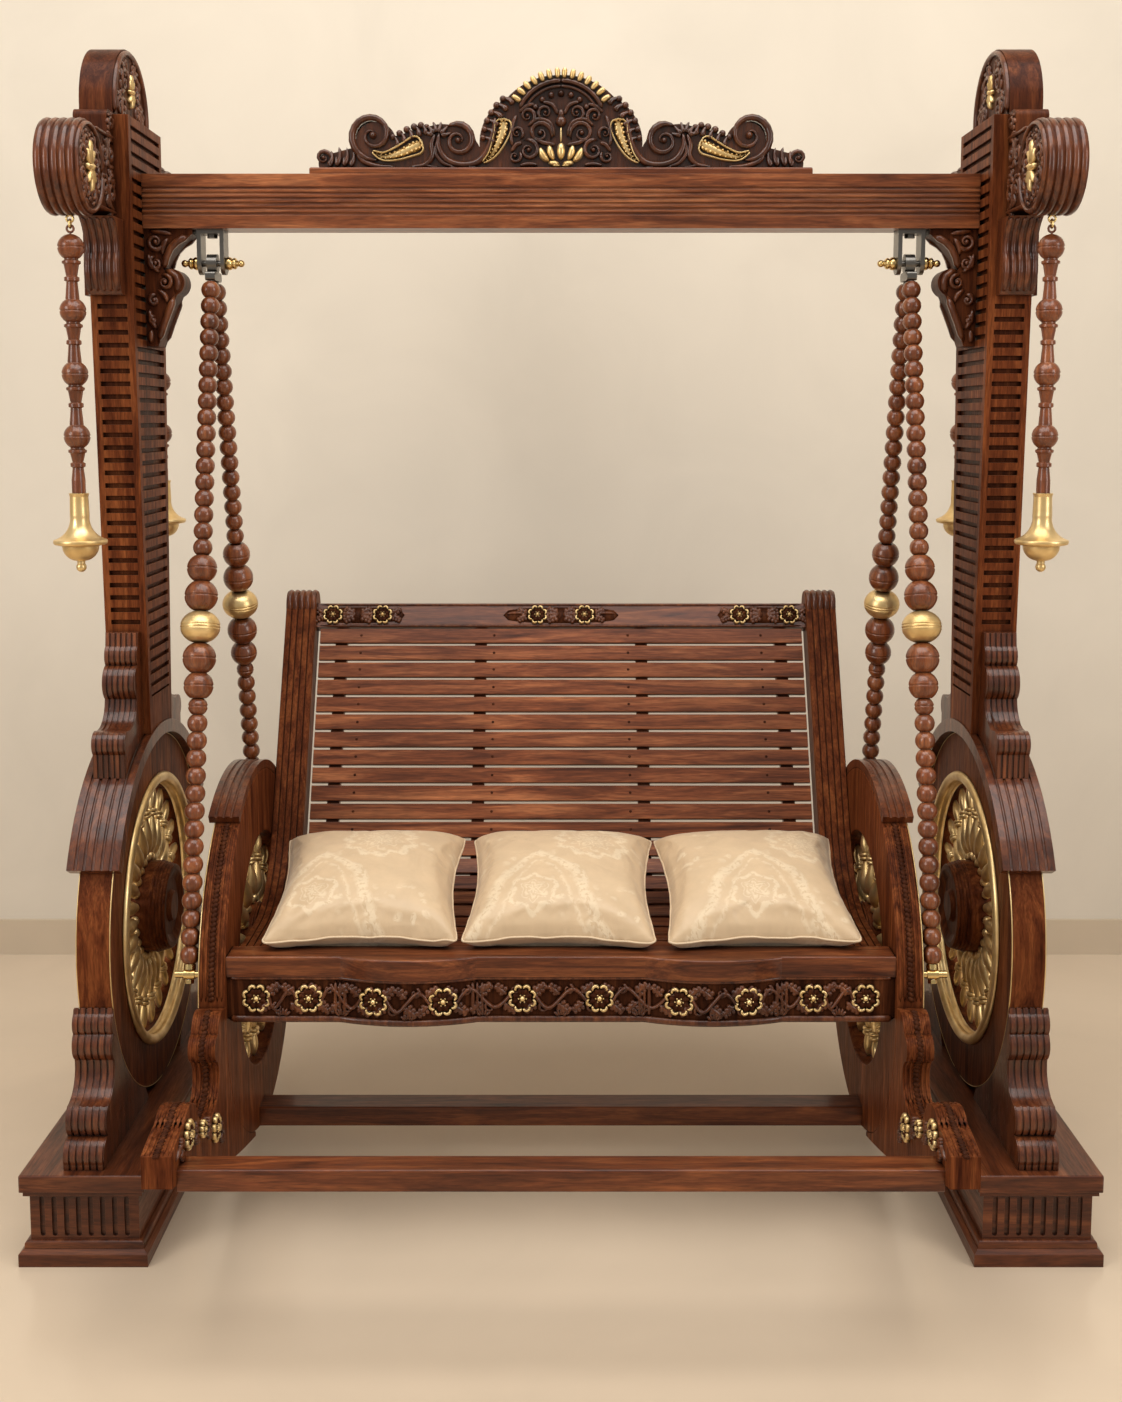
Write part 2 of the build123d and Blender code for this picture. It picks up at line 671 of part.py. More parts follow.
knob_start = ear_outer + 0.3
knob_length = 35
knob_ball = 7
with BuildPart() as knob:
    with BuildSketch(Plane.XZ):
        with BuildLine():
            Polyline((knob_start, pin_radius + 0.1), (knob_start, 11))
            ThreePointArc((knob_start, 11), (knob_start + 7, 12.5), (knob_start + 12, 9))
            ThreePointArc((knob_start + 12, 9), (knob_start + 16, 11), (knob_start + 20, 7.5))
            Polyline((knob_start + 20, 7.5), (knob_start + 23, 5), (knob_start + 30, 5), (knob_start + 30, 0),
                     (pin_half + 0.2, 0), (pin_half + 0.2, pin_radius + 0.1), (knob_start, pin_radius + 0.1))
        make_face()
    revolve(axis=Axis.X)
    with Locations((knob_start + knob_length - knob_ball, 0, 0)):
        Sphere(knob_ball)
with BuildPart() as pin_knobs:
    with Locations(Location((hanger_centre, pivot_y, pivot_height)),
                   Location((hanger_centre, pivot_y, pivot_height), (0, 180, 0))):
        add(knob.part)
    mirror(about=middle)
save(pin_knobs, "pin_knobs")


# ---- Bell hooks: screw eyes in the undersides of the rolls
roll_bottom = roll_height - roll_radius
hook_centre = roll_bottom - eye_ring - eye_wire
bell_x = head_middle
with BuildPart() as hook:
    with BuildSketch(Plane.XY):
        with Locations((eye_ring, 0)):
            Circle(eye_wire)
    revolve(axis=Axis.Y)
    with BuildSketch(Plane.XY.offset(eye_ring)):
        Circle(eye_wire)
    extrude(amount=22)
with BuildPart() as bell_hooks:
    with Locations((bell_x, pivot_y - roll_offset, hook_centre), (bell_x, pivot_y + roll_offset, hook_centre),
                   (-bell_x, pivot_y - roll_offset, hook_centre), (-bell_x, pivot_y + roll_offset, hook_centre)):
        add(hook.part)
save(bell_hooks, "bell_hooks")

# ---- Hanging bells: a chain link, a turned spindle with its own eye, and a gilt bell
# The link's arcs ride on the hook's wire above and in the spindle's eye below.
link_arc = 2 * eye_wire + 0.5
link_height = hook_centre - eye_ring + eye_wire + running - link_arc + eye_wire
link_bottom = link_height - 2 * (link_half_length - link_arc)
spindle_eye_height = link_bottom - link_arc + 2 * eye_wire + running - eye_ring
with BuildPart() as link_shape:
    with BuildLine(Plane.YZ) as link_path:
        ThreePointArc((-link_arc, 0), (0, link_arc), (link_arc, 0))
        Line((link_arc, 0), (link_arc, link_bottom - link_height))
        ThreePointArc((link_arc, link_bottom - link_height), (0, link_bottom - link_height - link_arc),
                      (-link_arc, link_bottom - link_height))
        Line((-link_arc, link_bottom - link_height), (-link_arc, 0))
    with BuildSketch(Plane(origin=(0, link_arc, 0), z_dir=(0, 0, -1))):
        Circle(eye_wire)
    sweep(path=link_path.wires()[0])

spindle_top = spindle_eye_height - eye_ring - eye_wire - eye_stand
bell_top = spindle_top - spindle_length
bulb_pitch = 110
stem_radius = 12
bulb_heights = [-spindle_bulb_radius - i * bulb_pitch for i in range(spindle_bulbs)]
with BuildPart() as spindle_shape:
    with BuildSketch(Plane.XZ):
        with BuildLine():
            start = bulb_heights[0]
            Line((0, start), (stem_radius, start))
            for height in bulb_heights:
                low = height - spindle_bulb_radius
                stop = max(height - bulb_pitch, -spindle_length)
                waist = (low + stop + spindle_bulb_radius) / 2
                Polyline((stem_radius, start), (stem_radius, low + 1), (16, low - 1), (16, low - 5), (13, low - 7),
                         (9.5, waist + 5), (13, waist + 3), (13, waist - 3), (9.5, waist - 5),
                         (stem_radius, min(stop + spindle_bulb_radius, waist - 12)), (stem_radius, stop))
                start = stop
            Polyline((stem_radius, -spindle_length), (0, -spindle_length), (0, bulb_heights[0]))
        make_face()
    revolve(axis=Axis.Z)
    with Locations([(0, 0, height) for height in bulb_heights]):
        Sphere(spindle_bulb_radius)
    with BuildSketch(Plane.XZ):
        with Locations([(spindle_bulb_radius + 1, height) for height in bulb_heights]):
            Circle(2.2)
    revolve(axis=Axis.Z, mode=Mode.SUBTRACT)
    with BuildSketch(Plane.XY.offset(-4)):
        Circle(eye_wire)
    extrude(amount=4 + eye_stand + eye_wire)
    eye_middle = eye_ring + eye_wire + eye_stand
    with BuildSketch(Plane.XY.offset(eye_middle)):
        with Locations((eye_ring, 0)):
            Circle(eye_wire)
    revolve(axis=Axis((0, 0, eye_middle), (0, 1, 0)))

finial_radius = 9
with BuildPart() as bell_shape:
    with BuildSketch(Plane.XZ):
        with BuildLine():
            Line((0, 0), (17.5, 0))
            Line((17.5, 0), (16, -6))
            Line((16, -6), (17, -40))
            ThreePointArc((17, -40), (23, -66), (bell_rim_radius, -bell_height + 4))
            ThreePointArc((bell_rim_radius, -bell_height + 4), (bell_rim_radius + 1, -bell_height),
                          (bell_rim_radius - 1, -bell_height - 4))
            Line((bell_rim_radius - 1, -bell_height - 4), (32, -bell_height - 7))
            ThreePointArc((32, -bell_height - 7), (25, -bell_height - 25), (7, -bell_height - 34))
            Polyline((7, -bell_height - 34), (7, -bell_height - 42), (0, -bell_height - 42), (0, 0))
        make_face()
    revolve(axis=Axis.Z)
    with Locations((0, 0, -bell_height - 54 + finial_radius)):
        Sphere(finial_radius)

for depth, y_sign in (("front", -1), ("rear", 1)):
    for side, x_sign in sides:
        place = Vector(x_sign * bell_x, pivot_y + y_sign * roll_offset, 0)
        with BuildPart() as link:
            with Locations(place + Vector(0, 0, link_height)):
                add(link_shape.part)
        save(link, f"link_{depth}_{side}")
        with BuildPart() as spindle:
            with Locations(place + Vector(0, 0, spindle_top)):
                add(spindle_shape.part)
        save(spindle, f"spindle_{depth}_{side}")
        with BuildPart() as bell:
            with Locations(place + Vector(0, 0, bell_top - fit)):
                add(bell_shape.part)
        save(bell, f"bell_{depth}_{side}")


# ---- Hanger eyes: a sleeve that turns on the pivot pin, over a fork that holds two rods
fork_bottom = fork_top - fork_height
rod_angle = degrees(atan2(rod_spread_bottom - rod_spread_top, fork_bottom - rod_bottom))
rod_top = Vector(0, rod_spread_top, fork_bottom)
rod_direction = Vector(0, sin(radians(rod_angle)), -cos(radians(rod_angle)))


def rod_plane(x, distance, y_sign=1):
    """Plane across a rod, distance down it from the fork's underside; its normal points up the rod."""
    point = rod_top + rod_direction * distance
    return Plane(origin=(x, pivot_y + y_sign * point.Y, point.Z), x_dir=(1, 0, 0),
                 z_dir=(0, -y_sign * rod_direction.Y, -rod_direction.Z))


with BuildPart() as hanger_eyes:
    with BuildSketch(side_plane(hanger_centre - eye_width / 2)):
        with Locations((0, pivot_height)):
            Circle(eye_radius)
        with Locations((0, (pivot_height + fork_top) / 2)):
            Rectangle(eye_radius, pivot_height - fork_top + 4)
        with Locations((0, fork_top - fork_height / 2)):
            RectangleRounded(2 * fork_half, fork_height, 5)
    extrude(amount=eye_width)
    with BuildSketch(side_plane(hanger_centre - eye_width)):
        with Locations((0, pivot_height)):
            Circle(pin_radius + pivot_clearance)
    extrude(amount=2 * eye_width, mode=Mode.SUBTRACT)
    for y_sign in (-1, 1):
        with BuildSketch(rod_plane(hanger_centre, -12, y_sign)):
            Circle(rod_radius + 0.1)
        extrude(amount=-30, mode=Mode.SUBTRACT)
    mirror(about=middle)
save(hanger_eyes, "hanger_eyes")

rod_length = (fork_bottom - rod_bottom) / cos(radians(rod_angle))
with BuildPart() as hanger_rods:
    for y_sign in (-1, 1):
        with BuildSketch(rod_plane(hanger_centre, -12 + fit, y_sign)):
            Circle(rod_radius)
        extrude(amount=-(rod_length + 12 + 16))
    mirror(about=middle)
save(hanger_rods, "hanger_rods")


# ---- Beads: threaded on the rods, small ones above and below, grooved ones around a gilt ball
def bead(radius, length, groove=0):
    """Turned bead with flat ends, bored for the rod, and a groove around it where it has one."""
    half = length / 2
    with BuildPart() as turned:
        with BuildSketch(Plane.XZ):
            Circle(radius)
            Rectangle(3 * radius, length, mode=Mode.INTERSECT)
            with Locations((-radius, 0)):
                Rectangle(2 * radius, 2 * length, mode=Mode.SUBTRACT)
            Rectangle(2 * (rod_radius + bead_play), 2 * length, mode=Mode.SUBTRACT)
            if groove:
                with Locations((radius + 1, 0)):
                    Circle(groove, mode=Mode.SUBTRACT)
        revolve(axis=Axis.Z)
    return turned


ball_radius = 37
ball_length = 61
large_beads_above = ((28, 48), (31, 56))
large_beads_below = ((31, 56), (27.5, 47), (18, 30))
first_bead = 3.5
with BuildPart() as gilt_ball:
    with BuildSketch(Plane.XZ):
        Ellipse(ball_radius, ball_length / 2 + 1)
        Rectangle(3 * ball_radius, ball_length, mode=Mode.INTERSECT)
        with Locations((-ball_radius, 0)):
            Rectangle(2 * ball_radius, 2 * ball_length, mode=Mode.SUBTRACT)
        Rectangle(2 * (rod_radius + bead_play), 2 * ball_length, mode=Mode.SUBTRACT)
        with Locations((ball_radius + 1, 3), (ball_radius + 1, -3)):
            Circle(2.2, mode=Mode.SUBTRACT)
    revolve(axis=Axis.Z)

upper_length = (first_bead + small_bead_count * small_bead_length + ball_length + bead_play
                + sum(length for radius, length in large_beads_above + large_beads_below))
beads_end = rod_length - cross_barrel_radius - collar_height - 2 * bead_play
lower_bead_length = (beads_end - upper_length) / lower_bead_count
small_bead = bead(small_bead_radius, small_bead_length - bead_play)
lower_bead = bead(lower_bead_radius, lower_bead_length - bead_play)
small_places = []
lower_places = []
large_kinds = []
distance = first_bead
for i in range(small_bead_count):
    small_places.append(distance + small_bead_length / 2)
    distance += small_bead_length
for radius, length in large_beads_above:
    large_kinds.append((distance + length / 2, radius, length))
    distance += length
ball_place = distance + ball_length / 2
distance += ball_length + bead_play
for radius, length in large_beads_below:
    large_kinds.append((distance + length / 2, radius, length))
    distance += length
for i in range(lower_bead_count):
    lower_places.append(distance + lower_bead_length / 2)
    distance += lower_bead_length

corners = [(x_sign * hanger_centre, y_sign) for x_sign in (-1, 1) for y_sign in (-1, 1)]
with BuildPart() as small_beads:
    for x, y_sign in corners:
        with Locations([rod_plane(x, place, y_sign).location for place in small_places]):
            add(small_bead.part, clean=False)
        with Locations([rod_plane(x, place, y_sign).location for place in lower_places]):
            add(lower_bead.part, clean=False)
save(small_beads, "small_beads")

with BuildPart() as large_beads:
    for place, radius, length in large_kinds:
        with Locations([rod_plane(x, place, y_sign).location for x, y_sign in corners]):
            add(bead(radius, length - bead_play, 2.5).part, clean=False)
save(large_beads, "large_beads")

with BuildPart() as gilt_balls:
    with Locations([rod_plane(x, ball_place, y_sign).location for x, y_sign in corners]):
        add(gilt_ball.part, clean=False)
save(gilt_balls, "gilt_balls")

# ---- Rod fittings: a cross pin in the seat wheel, a collar over it and a nut under it
pin_start = seat_wheel_inner + seat_wheel_width - 16
rod_nut_height = 7
with BuildPart() as cross_pin:
    with BuildSketch(Plane.YZ.offset(pin_start - hanger_centre)):
        Circle(cross_pin_radius)
    extrude(amount=cross_pin_length)
    with BuildSketch(Plane.YZ.offset(-10)):
        Circle(cross_barrel_radius)
    extrude(amount=20)
    Cylinder(rod_radius + 0.1, 40, mode=Mode.SUBTRACT)
with BuildPart() as rod_fittings:
    for y_sign in (-1, 1):
        with Locations(rod_plane(hanger_centre, rod_length, y_sign).location):
            add(cross_pin.part)
        with BuildSketch(rod_plane(hanger_centre, beads_end + bead_play, y_sign)):
            Circle(collar_radius)
            Circle(rod_radius + 0.1, mode=Mode.SUBTRACT)
        extrude(amount=-collar_height)
        with BuildSketch(rod_plane(hanger_centre, rod_length + cross_barrel_radius + bead_play, y_sign)):
            RegularPolygon(8.5, 6)
            Circle(rod_radius + 0.1, mode=Mode.SUBTRACT)
        extrude(amount=-rod_nut_height)
    mirror(about=middle)
save(rod_fittings, "rod_fittings")


# ---- Seat wheels: rims with a gilt star of turned spokes, hubs and short fenders
with BuildPart() as seat_rims:
    with BuildSketch(side_plane(seat_wheel_inner)):
        with Locations((0, seat_wheel_height)):
            Circle(seat_wheel_radius)
            Circle(seat_wheel_bore, mode=Mode.SUBTRACT)
    extrude(amount=seat_wheel_width)
    fillet(seat_rims.edges().filter_by(GeomType.CIRCLE), radius=3)
    for y_sign in (-1, 1):
        with BuildSketch(side_plane(pin_start - fit)):
            with Locations((y_sign * rod_spread_bottom, rod_bottom)):
                Circle(cross_pin_radius + 0.1)
        extrude(amount=seat_wheel_width, mode=Mode.SUBTRACT)
    mirror(about=middle)
save(seat_rims, "seat_rims")

seat_spoke = baluster(seat_wheel_bore - seat_hub_radius + 4 - 2 * fit, 16)
seat_spoke_plane = Plane(origin=(seat_wheel_inner + seat_wheel_width / 2, pivot_y, seat_wheel_height),
                         x_dir=(0, 1, 0), z_dir=(1, 0, 0))
with BuildPart(seat_spoke_plane) as seat_spokes:
    with PolarLocations(seat_hub_radius - 4 + fit, seat_spoke_count):
        add(seat_spoke.part)
    mirror(about=middle)
save(seat_spokes, "seat_spokes")

seat_hub = hub(seat_wheel_inner + 12, seat_wheel_width - 16, 10, seat_hub_radius, seat_wheel_height, 2)
with BuildPart() as seat_hubs:
    add(seat_hub.part)
    mirror(about=middle)
save(seat_hubs, "seat_hubs")

seat_fender_width = 58
seat_fender = fender(seat_wheel_inner + seat_fender_width / 2 + 0.5, seat_fender_width, seat_wheel_radius + fit,
                     seat_fender_thickness, seat_fender_half_angle, 3, seat_wheel_height)
with BuildPart() as seat_fenders:
    add(seat_fender.part)
    mirror(about=middle)
save(seat_fenders, "seat_fenders")

# ---- Foot arms: scrolls that run from the seat wheels to the foot rest, with bars between them
arm_front = -foot_reach
arm_tip = 358               # top of the arms at their front
with BuildPart() as foot_arms:
    with BuildSketch(side_plane(seat_wheel_inner)):
        with BuildLine():
            Line((-110, stretcher_bottom), (-110, 120))
            Polyline((-110, 120), (-300, 443), (-366, 443))
            ThreePointArc((-366, 443), (-404, 441), (-420, 418))
            ThreePointArc((-420, 418), (-446, 400), (-430, 372))
            ThreePointArc((-430, 372), (-416, 338), (-436, 306))
            ThreePointArc((-436, 306), (-520, 300), (-585, 350))
            ThreePointArc((-585, 350), (-628, 384), (arm_front + 84, arm_tip + 14))
            ThreePointArc((arm_front + 84, arm_tip + 14), (arm_front + 48, arm_tip + 10), (arm_front, arm_tip))
            Polyline((arm_front, arm_tip), (arm_front, arm_tip - 53), (arm_front + 32, arm_tip - 62))
            ThreePointArc((arm_front + 32, arm_tip - 62), (-420, 172), (-110, stretcher_bottom))
        make_face()
        with Locations((0, seat_wheel_height)):
            Circle(seat_wheel_radius + fit, mode=Mode.SUBTRACT)
    extrude(amount=seat_wheel_width)
    mirror(about=middle)
save(foot_arms, "foot_arms")

with BuildPart() as foot_bar:
    with Locations((0, pivot_y + arm_front + 30 + foot_bar_depth / 2, arm_tip - 37 - foot_bar_height / 2)):
        Box(2 * seat_wheel_inner, foot_bar_depth, foot_bar_height)
    fillet(foot_bar.edges().filter_by(Axis.X), radius=4)
save(foot_bar, "foot_bar")

# ---- The seat's run: flat, then a round bend, then the straight back
lean = radians(back_angle)
corner_y = back_top_y - (back_top_z - seat_surface) * tan(lean)
run_points = ((seat_front, seat_surface), (corner_y, seat_surface), (back_top_y, back_top_z))


def offset_point(distance):
    """The run's three points, moved below and behind the slats' faces by distance."""
    turn = radians(90 - back_angle)
    lower = (seat_front, seat_surface - distance)
    bend = (corner_y + distance * tan(turn / 2), seat_surface - distance)
    upper = (back_top_y + distance * cos(lean), back_top_z - distance * sin(lean))
    return lower, bend, upper


def run_strip(top, bottom, x, width):
    """Bent strip between two depths under the slats' faces, from x over width."""
    with BuildPart() as strip:
        with BuildSketch(side_plane(x)):
            with BuildLine():
                upper_face = offset_point(top)
                lower_face = offset_point(bottom)
                FilletPolyline(*upper_face, radius=seat_bend_radius + top)
                FilletPolyline(*lower_face, radius=seat_bend_radius + bottom)
                Line(upper_face[0], lower_face[0])
                Line(upper_face[2], lower_face[2])
            make_face()
        extrude(amount=width)
    return strip


batten_top = slat_thickness + batten_play
slat_half_length = seat_wheel_inner - stile_width - slat_end_gap
outer_batten = slat_half_length - batten_inset
batten_places = (-outer_batten, -inner_batten, inner_batten, outer_batten)
with BuildPart() as battens:
    for x in batten_places:
        add(run_strip(batten_top, batten_top + batten_thickness, x - batten_width / 2, batten_width).part)
save(battens, "battens")

with BuildLine(side_plane(0)) as run_line:
    FilletPolyline(*run_points, radius=seat_bend_radius)
run_wire = run_line.wires()[0]
back_rail_start = run_wire.length - top_rail_height
slat_count = int((back_rail_start - slat_width / 2) / slat_pitch) + 1
first_slat = back_rail_start - 3 - slat_width / 2 - (slat_count - 1) * slat_pitch


def run_plane(distance):
    """Plane on the slats' faces, distance along the run: x is +X, y is along the run, z is out of the face."""
    point = run_wire.position_at(distance, position_mode=PositionMode.LENGTH)
    along = run_wire.tangent_at(distance, position_mode=PositionMode.LENGTH)
    return Plane(origin=point, x_dir=(1, 0, 0), z_dir=Vector(1, 0, 0).cross(along))


with BuildPart() as slats:
    for i in range(slat_count):
        with BuildSketch(run_plane(first_slat + i * slat_pitch)):
            Rectangle(2 * slat_half_length, slat_width)
        extrude(amount=-slat_thickness)
    fillet(slats.edges().filter_by(Axis.X), radius=1.5)
save(slats, "slats")

# ---- Stiles: reeded side pieces that follow the run, with a scroll at the top
stile_inner = seat_wheel_inner - stile_width
with BuildPart() as stiles:
    add(run_strip(-stile_proud + 3, stile_thickness - stile_proud, stile_inner, stile_width).part)
    reed_pitch = stile_width / stile_reeds
    for i in range(stile_reeds):
        add(run_strip(-stile_proud, stile_thickness - stile_proud, stile_inner + i * reed_pitch + 1.5,
                      reed_pitch - 3).part)
    stile_scroll = offset_point(stile_thickness / 2 - stile_proud)[2]
    with BuildSketch(side_plane(stile_inner)):
        with Locations(stile_scroll):
            Circle(stile_thickness / 2 + 3)
    extrude(amount=stile_width)
    mirror(about=middle)
save(stiles, "stiles")

with BuildPart() as top_rail:
    with BuildSketch(run_plane(run_wire.length - top_rail_height / 2)):
        Rectangle(2 * stile_inner, top_rail_height)
    extrude(amount=-top_rail_thickness)
    for x in batten_places:
        add(run_strip(slat_thickness, batten_top + batten_thickness + fit, x - batten_width / 2 - fit,
                      batten_width + 2 * fit).part, mode=Mode.SUBTRACT)
save(top_rail, "top_rail")

# ---- Cross rails: the stretcher between the seat wheels and the hidden rail under the seat
seat_rail_y = -75
seat_rail_size = 50
batten_underside = seat_surface - batten_top - batten_thickness
stile_underside = seat_surface - stile_thickness + stile_proud
with BuildPart() as cross_rails:
    with Locations((0, pivot_y + stretcher_y, stretcher_bottom + stretcher_height / 2)):
        Box(2 * seat_wheel_inner, stretcher_depth, stretcher_height)
    with Locations((0, pivot_y + seat_rail_y, batten_underside - seat_rail_size / 2)):
        Box(2 * seat_wheel_inner, seat_rail_size, seat_rail_size)
    fillet(cross_rails.edges().filter_by(Axis.X), radius=3)
    with Locations(((seat_wheel_inner + stile_inner) / 2 - fit, pivot_y + seat_rail_y, batten_underside),
                   ((-seat_wheel_inner - stile_inner) / 2 + fit, pivot_y + seat_rail_y, batten_underside)):
        Box(stile_width + 2 * fit, 2 * seat_rail_size, 2 * (batten_underside - stile_underside), mode=Mode.SUBTRACT)
save(cross_rails, "cross_rails")


# ---- Front of the seat: a bowed rail over a bowed and carved apron, with gilt rosettes
bow_half = (bow_outer - bow_inner) / 2
bow_middle = (bow_outer + bow_inner) / 2
bow_radius = (bow_half ** 2 + bow_depth ** 2) / (2 * bow_depth)


def bowed_outline(setback, thickness):
    """Plan of a bowed board as wide as the seat, with its face set back from the rail's."""
    face = rail_front + setback
    with BuildSketch() as plan:
        with BuildLine():
            Line((0, face), (bow_inner, face))
            ThreePointArc((bow_inner, face), (bow_middle, face - bow_depth), (bow_outer, face))
            Polyline((bow_outer, face), (seat_wheel_inner, face), (seat_wheel_inner, face + thickness),
                     (0, face + thickness), (0, face))
        make_face()
        mirror(about=Plane.YZ)
    return plan


rail_bottom = rail_top - rail_height
with BuildPart() as front_rail:
    with BuildSketch(Plane.XY.offset(rail_bottom)):
        with Locations((0, pivot_y)):
            add(bowed_outline(0, rail_depth).sketch)
    extrude(amount=rail_height)
    fillet(front_rail.faces().sort_by(Axis.Z)[-1].edges(), radius=4)
save(front_rail, "front_rail")

apron_setback = 6
with BuildPart() as apron:
    with BuildSketch(Plane.XY.offset(rail_bottom - apron_height)):
        with Locations((0, pivot_y)):
            add(bowed_outline(apron_setback, apron_thickness).sketch)
    extrude(amount=apron_height)
save(apron, "apron")


def apron_face(x):
    """Plane on the apron's front at x, facing out, at the rosettes' height."""
    face = rail_front + apron_setback
    from_bow = abs(x) - bow_middle
    turn = 0
    if abs(from_bow) < bow_half:
        face -= sqrt(bow_radius ** 2 - from_bow ** 2) - (bow_radius - bow_depth)
        turn = asin(from_bow / bow_radius) * (1 if x > 0 else -1)
    return Plane(origin=(x, pivot_y + face, rail_bottom - apron_height / 2), x_dir=(cos(turn), sin(turn), 0),
                 z_dir=(sin(turn), -cos(turn), 0))


apron_rosettes = (70, bow_middle - 62, bow_middle + 62, bow_outer + 58, seat_wheel_inner - 54)
rail_rosettes = (52, stile_inner - 146, stile_inner - 36)
with BuildPart() as rosettes:
    for x in apron_rosettes:
        for sign in (-1, 1):
            with BuildSketch(apron_face(sign * x).offset(0.6)):
                Circle(rosette_radius)
            extrude(amount=rosette_thickness)
    for x in rail_rosettes:
        for sign in (-1, 1):
            with BuildSketch(run_plane(run_wire.length - top_rail_height / 2)):
                with Locations((sign * x, 0)):
                    Circle(rosette_radius * 0.9)
            extrude(amount=rosette_thickness)
save(rosettes, "rosettes")


# ---- Cushions: three loose square cushions, leaning on the slats behind and on the front rail
cushion_nose = (rail_front + 8, rail_top + 14)
cushion_over_rail = (rail_front + rail_depth + 6, rail_top + 2)
cushion_rear = (26, seat_surface + 153)
cushion_pitch = (2 * seat_wheel_inner - cushion_room) / 3
cushion_half = (cushion_pitch - cushion_gap) / 2
for name, x in (("left", -cushion_pitch), ("middle", 0), ("right", cushion_pitch)):
    with BuildPart() as cushion:
        with BuildSketch(side_plane(x - cushion_half)):
            with BuildLine():
                Line(cushion_nose, cushion_over_rail)
                ThreePointArc(cushion_over_rail, (-110, seat_surface + 7.2), cushion_rear)
                ThreePointArc(cushion_nose, (-175, seat_surface + 178), cushion_rear)
            make_face()
        extrude(amount=2 * cushion_half)
        with BuildSketch(front_plane(200)):
            with BuildLine():
                low = seat_surface + 50
                high = seat_surface + 145
                ThreePointArc((x - cushion_half, low), (x, seat_surface + running), (x + cushion_half, low))
                Line((x + cushion_half, low), (x + cushion_half, high))
                ThreePointArc((x + cushion_half, high), (x, high + 80), (x - cushion_half, high))
                Line((x - cushion_half, high), (x - cushion_half, low))
            make_face()
        extrude(amount=700, mode=Mode.INTERSECT)
    save(cushion, f"cushion_{name}")
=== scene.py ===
import bmesh
import bpy
import random
from math import acos, atan2, cos, pi, radians, sin, sqrt
from mathutils import Matrix, Vector, kdtree


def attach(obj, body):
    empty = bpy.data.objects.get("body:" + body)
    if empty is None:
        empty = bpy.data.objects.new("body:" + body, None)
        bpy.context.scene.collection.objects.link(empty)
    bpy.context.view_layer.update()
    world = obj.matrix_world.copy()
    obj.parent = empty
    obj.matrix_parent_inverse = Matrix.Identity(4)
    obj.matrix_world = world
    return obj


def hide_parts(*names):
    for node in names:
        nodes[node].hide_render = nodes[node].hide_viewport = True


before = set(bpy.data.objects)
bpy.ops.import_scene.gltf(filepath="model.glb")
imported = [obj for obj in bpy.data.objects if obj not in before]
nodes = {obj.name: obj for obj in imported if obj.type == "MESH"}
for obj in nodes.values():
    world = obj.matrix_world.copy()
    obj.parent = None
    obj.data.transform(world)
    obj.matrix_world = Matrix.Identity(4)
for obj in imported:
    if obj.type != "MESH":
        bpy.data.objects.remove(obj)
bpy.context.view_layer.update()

# ---- Plinths
# Two long boxes of dark stained hardwood carry the side frames: a fluted die on a stepped footing,
# under a thick slab with rounded edges. The dark wood is stained and lacquered, some of it to a shine.


def put(tree, kind, values=(), **settings):
    """Adds a shader node, sets it and joins or fills its inputs."""
    made = tree.nodes.new(kind)
    for key, value in settings.items():
        setattr(made, key, value)
    for key, value in dict(values).items():
        if isinstance(value, bpy.types.NodeSocket):
            tree.links.new(value, made.inputs[key])
        else:
            made.inputs[key].default_value = value
    return made


def noise(tree, place, scale, detail=2.0, rough=0.5, distortion=0.0):
    """Cloudy value between 0 and 1."""
    return put(tree, "ShaderNodeTexNoise", {"Vector": place, "Scale": scale, "Detail": detail,
                                            "Roughness": rough, "Distortion": distortion}).outputs["Fac"]


def spread(tree, value, low, high, to_low=0.0, to_high=1.0):
    """Maps one range of a value to another and keeps it in there."""
    return put(tree, "ShaderNodeMapRange", {"Value": value, "From Min": low, "From Max": high,
                                            "To Min": to_low, "To Max": to_high}).outputs[0]


def mix(tree, share, below, above, blend="MIX"):
    """Mixes two colours, given as sockets or as (red, green, blue)."""
    below, above = ((*colour, 1) if isinstance(colour, tuple) else colour for colour in (below, above))
    return put(tree, "ShaderNodeMix", {0: share, 6: below, 7: above}, data_type="RGBA",
               blend_type=blend).outputs[2]


def new_group(name, inputs, outputs):
    """An empty node group with its ways in and out, each given as a name and a kind."""
    group = bpy.data.node_groups.new(name, "ShaderNodeTree")
    for in_out, sockets in (("INPUT", inputs), ("OUTPUT", outputs)):
        for socket, kind in sockets:
            group.interface.new_socket(socket, in_out=in_out, socket_type=f"NodeSocket{kind}")
    return group, group.nodes.new("NodeGroupInput").outputs, group.nodes.new("NodeGroupOutput").inputs


def grain_group():
    """Wood figure: long streaks, fine fibres and a slow change of the stain."""
    group, start, end = new_group("wood grain", (("Place", "Vector"), ("Stretch", "Vector")),
                                  (("Figure", "Float"), ("Fibre", "Float"), ("Stain", "Float")))
    drawn = put(group, "ShaderNodeVectorMath", {0: start["Place"], 1: start["Stretch"]},
                operation="MULTIPLY").outputs[0]
    group.links.new(noise(group, drawn, 5.0, 4.0, 0.6, 1.6), end["Figure"])
    group.links.new(noise(group, drawn, 46.0, 2.0, 0.7, 0.4), end["Fibre"])
    group.links.new(noise(group, start["Place"], 3.4), end["Stain"])
    return group


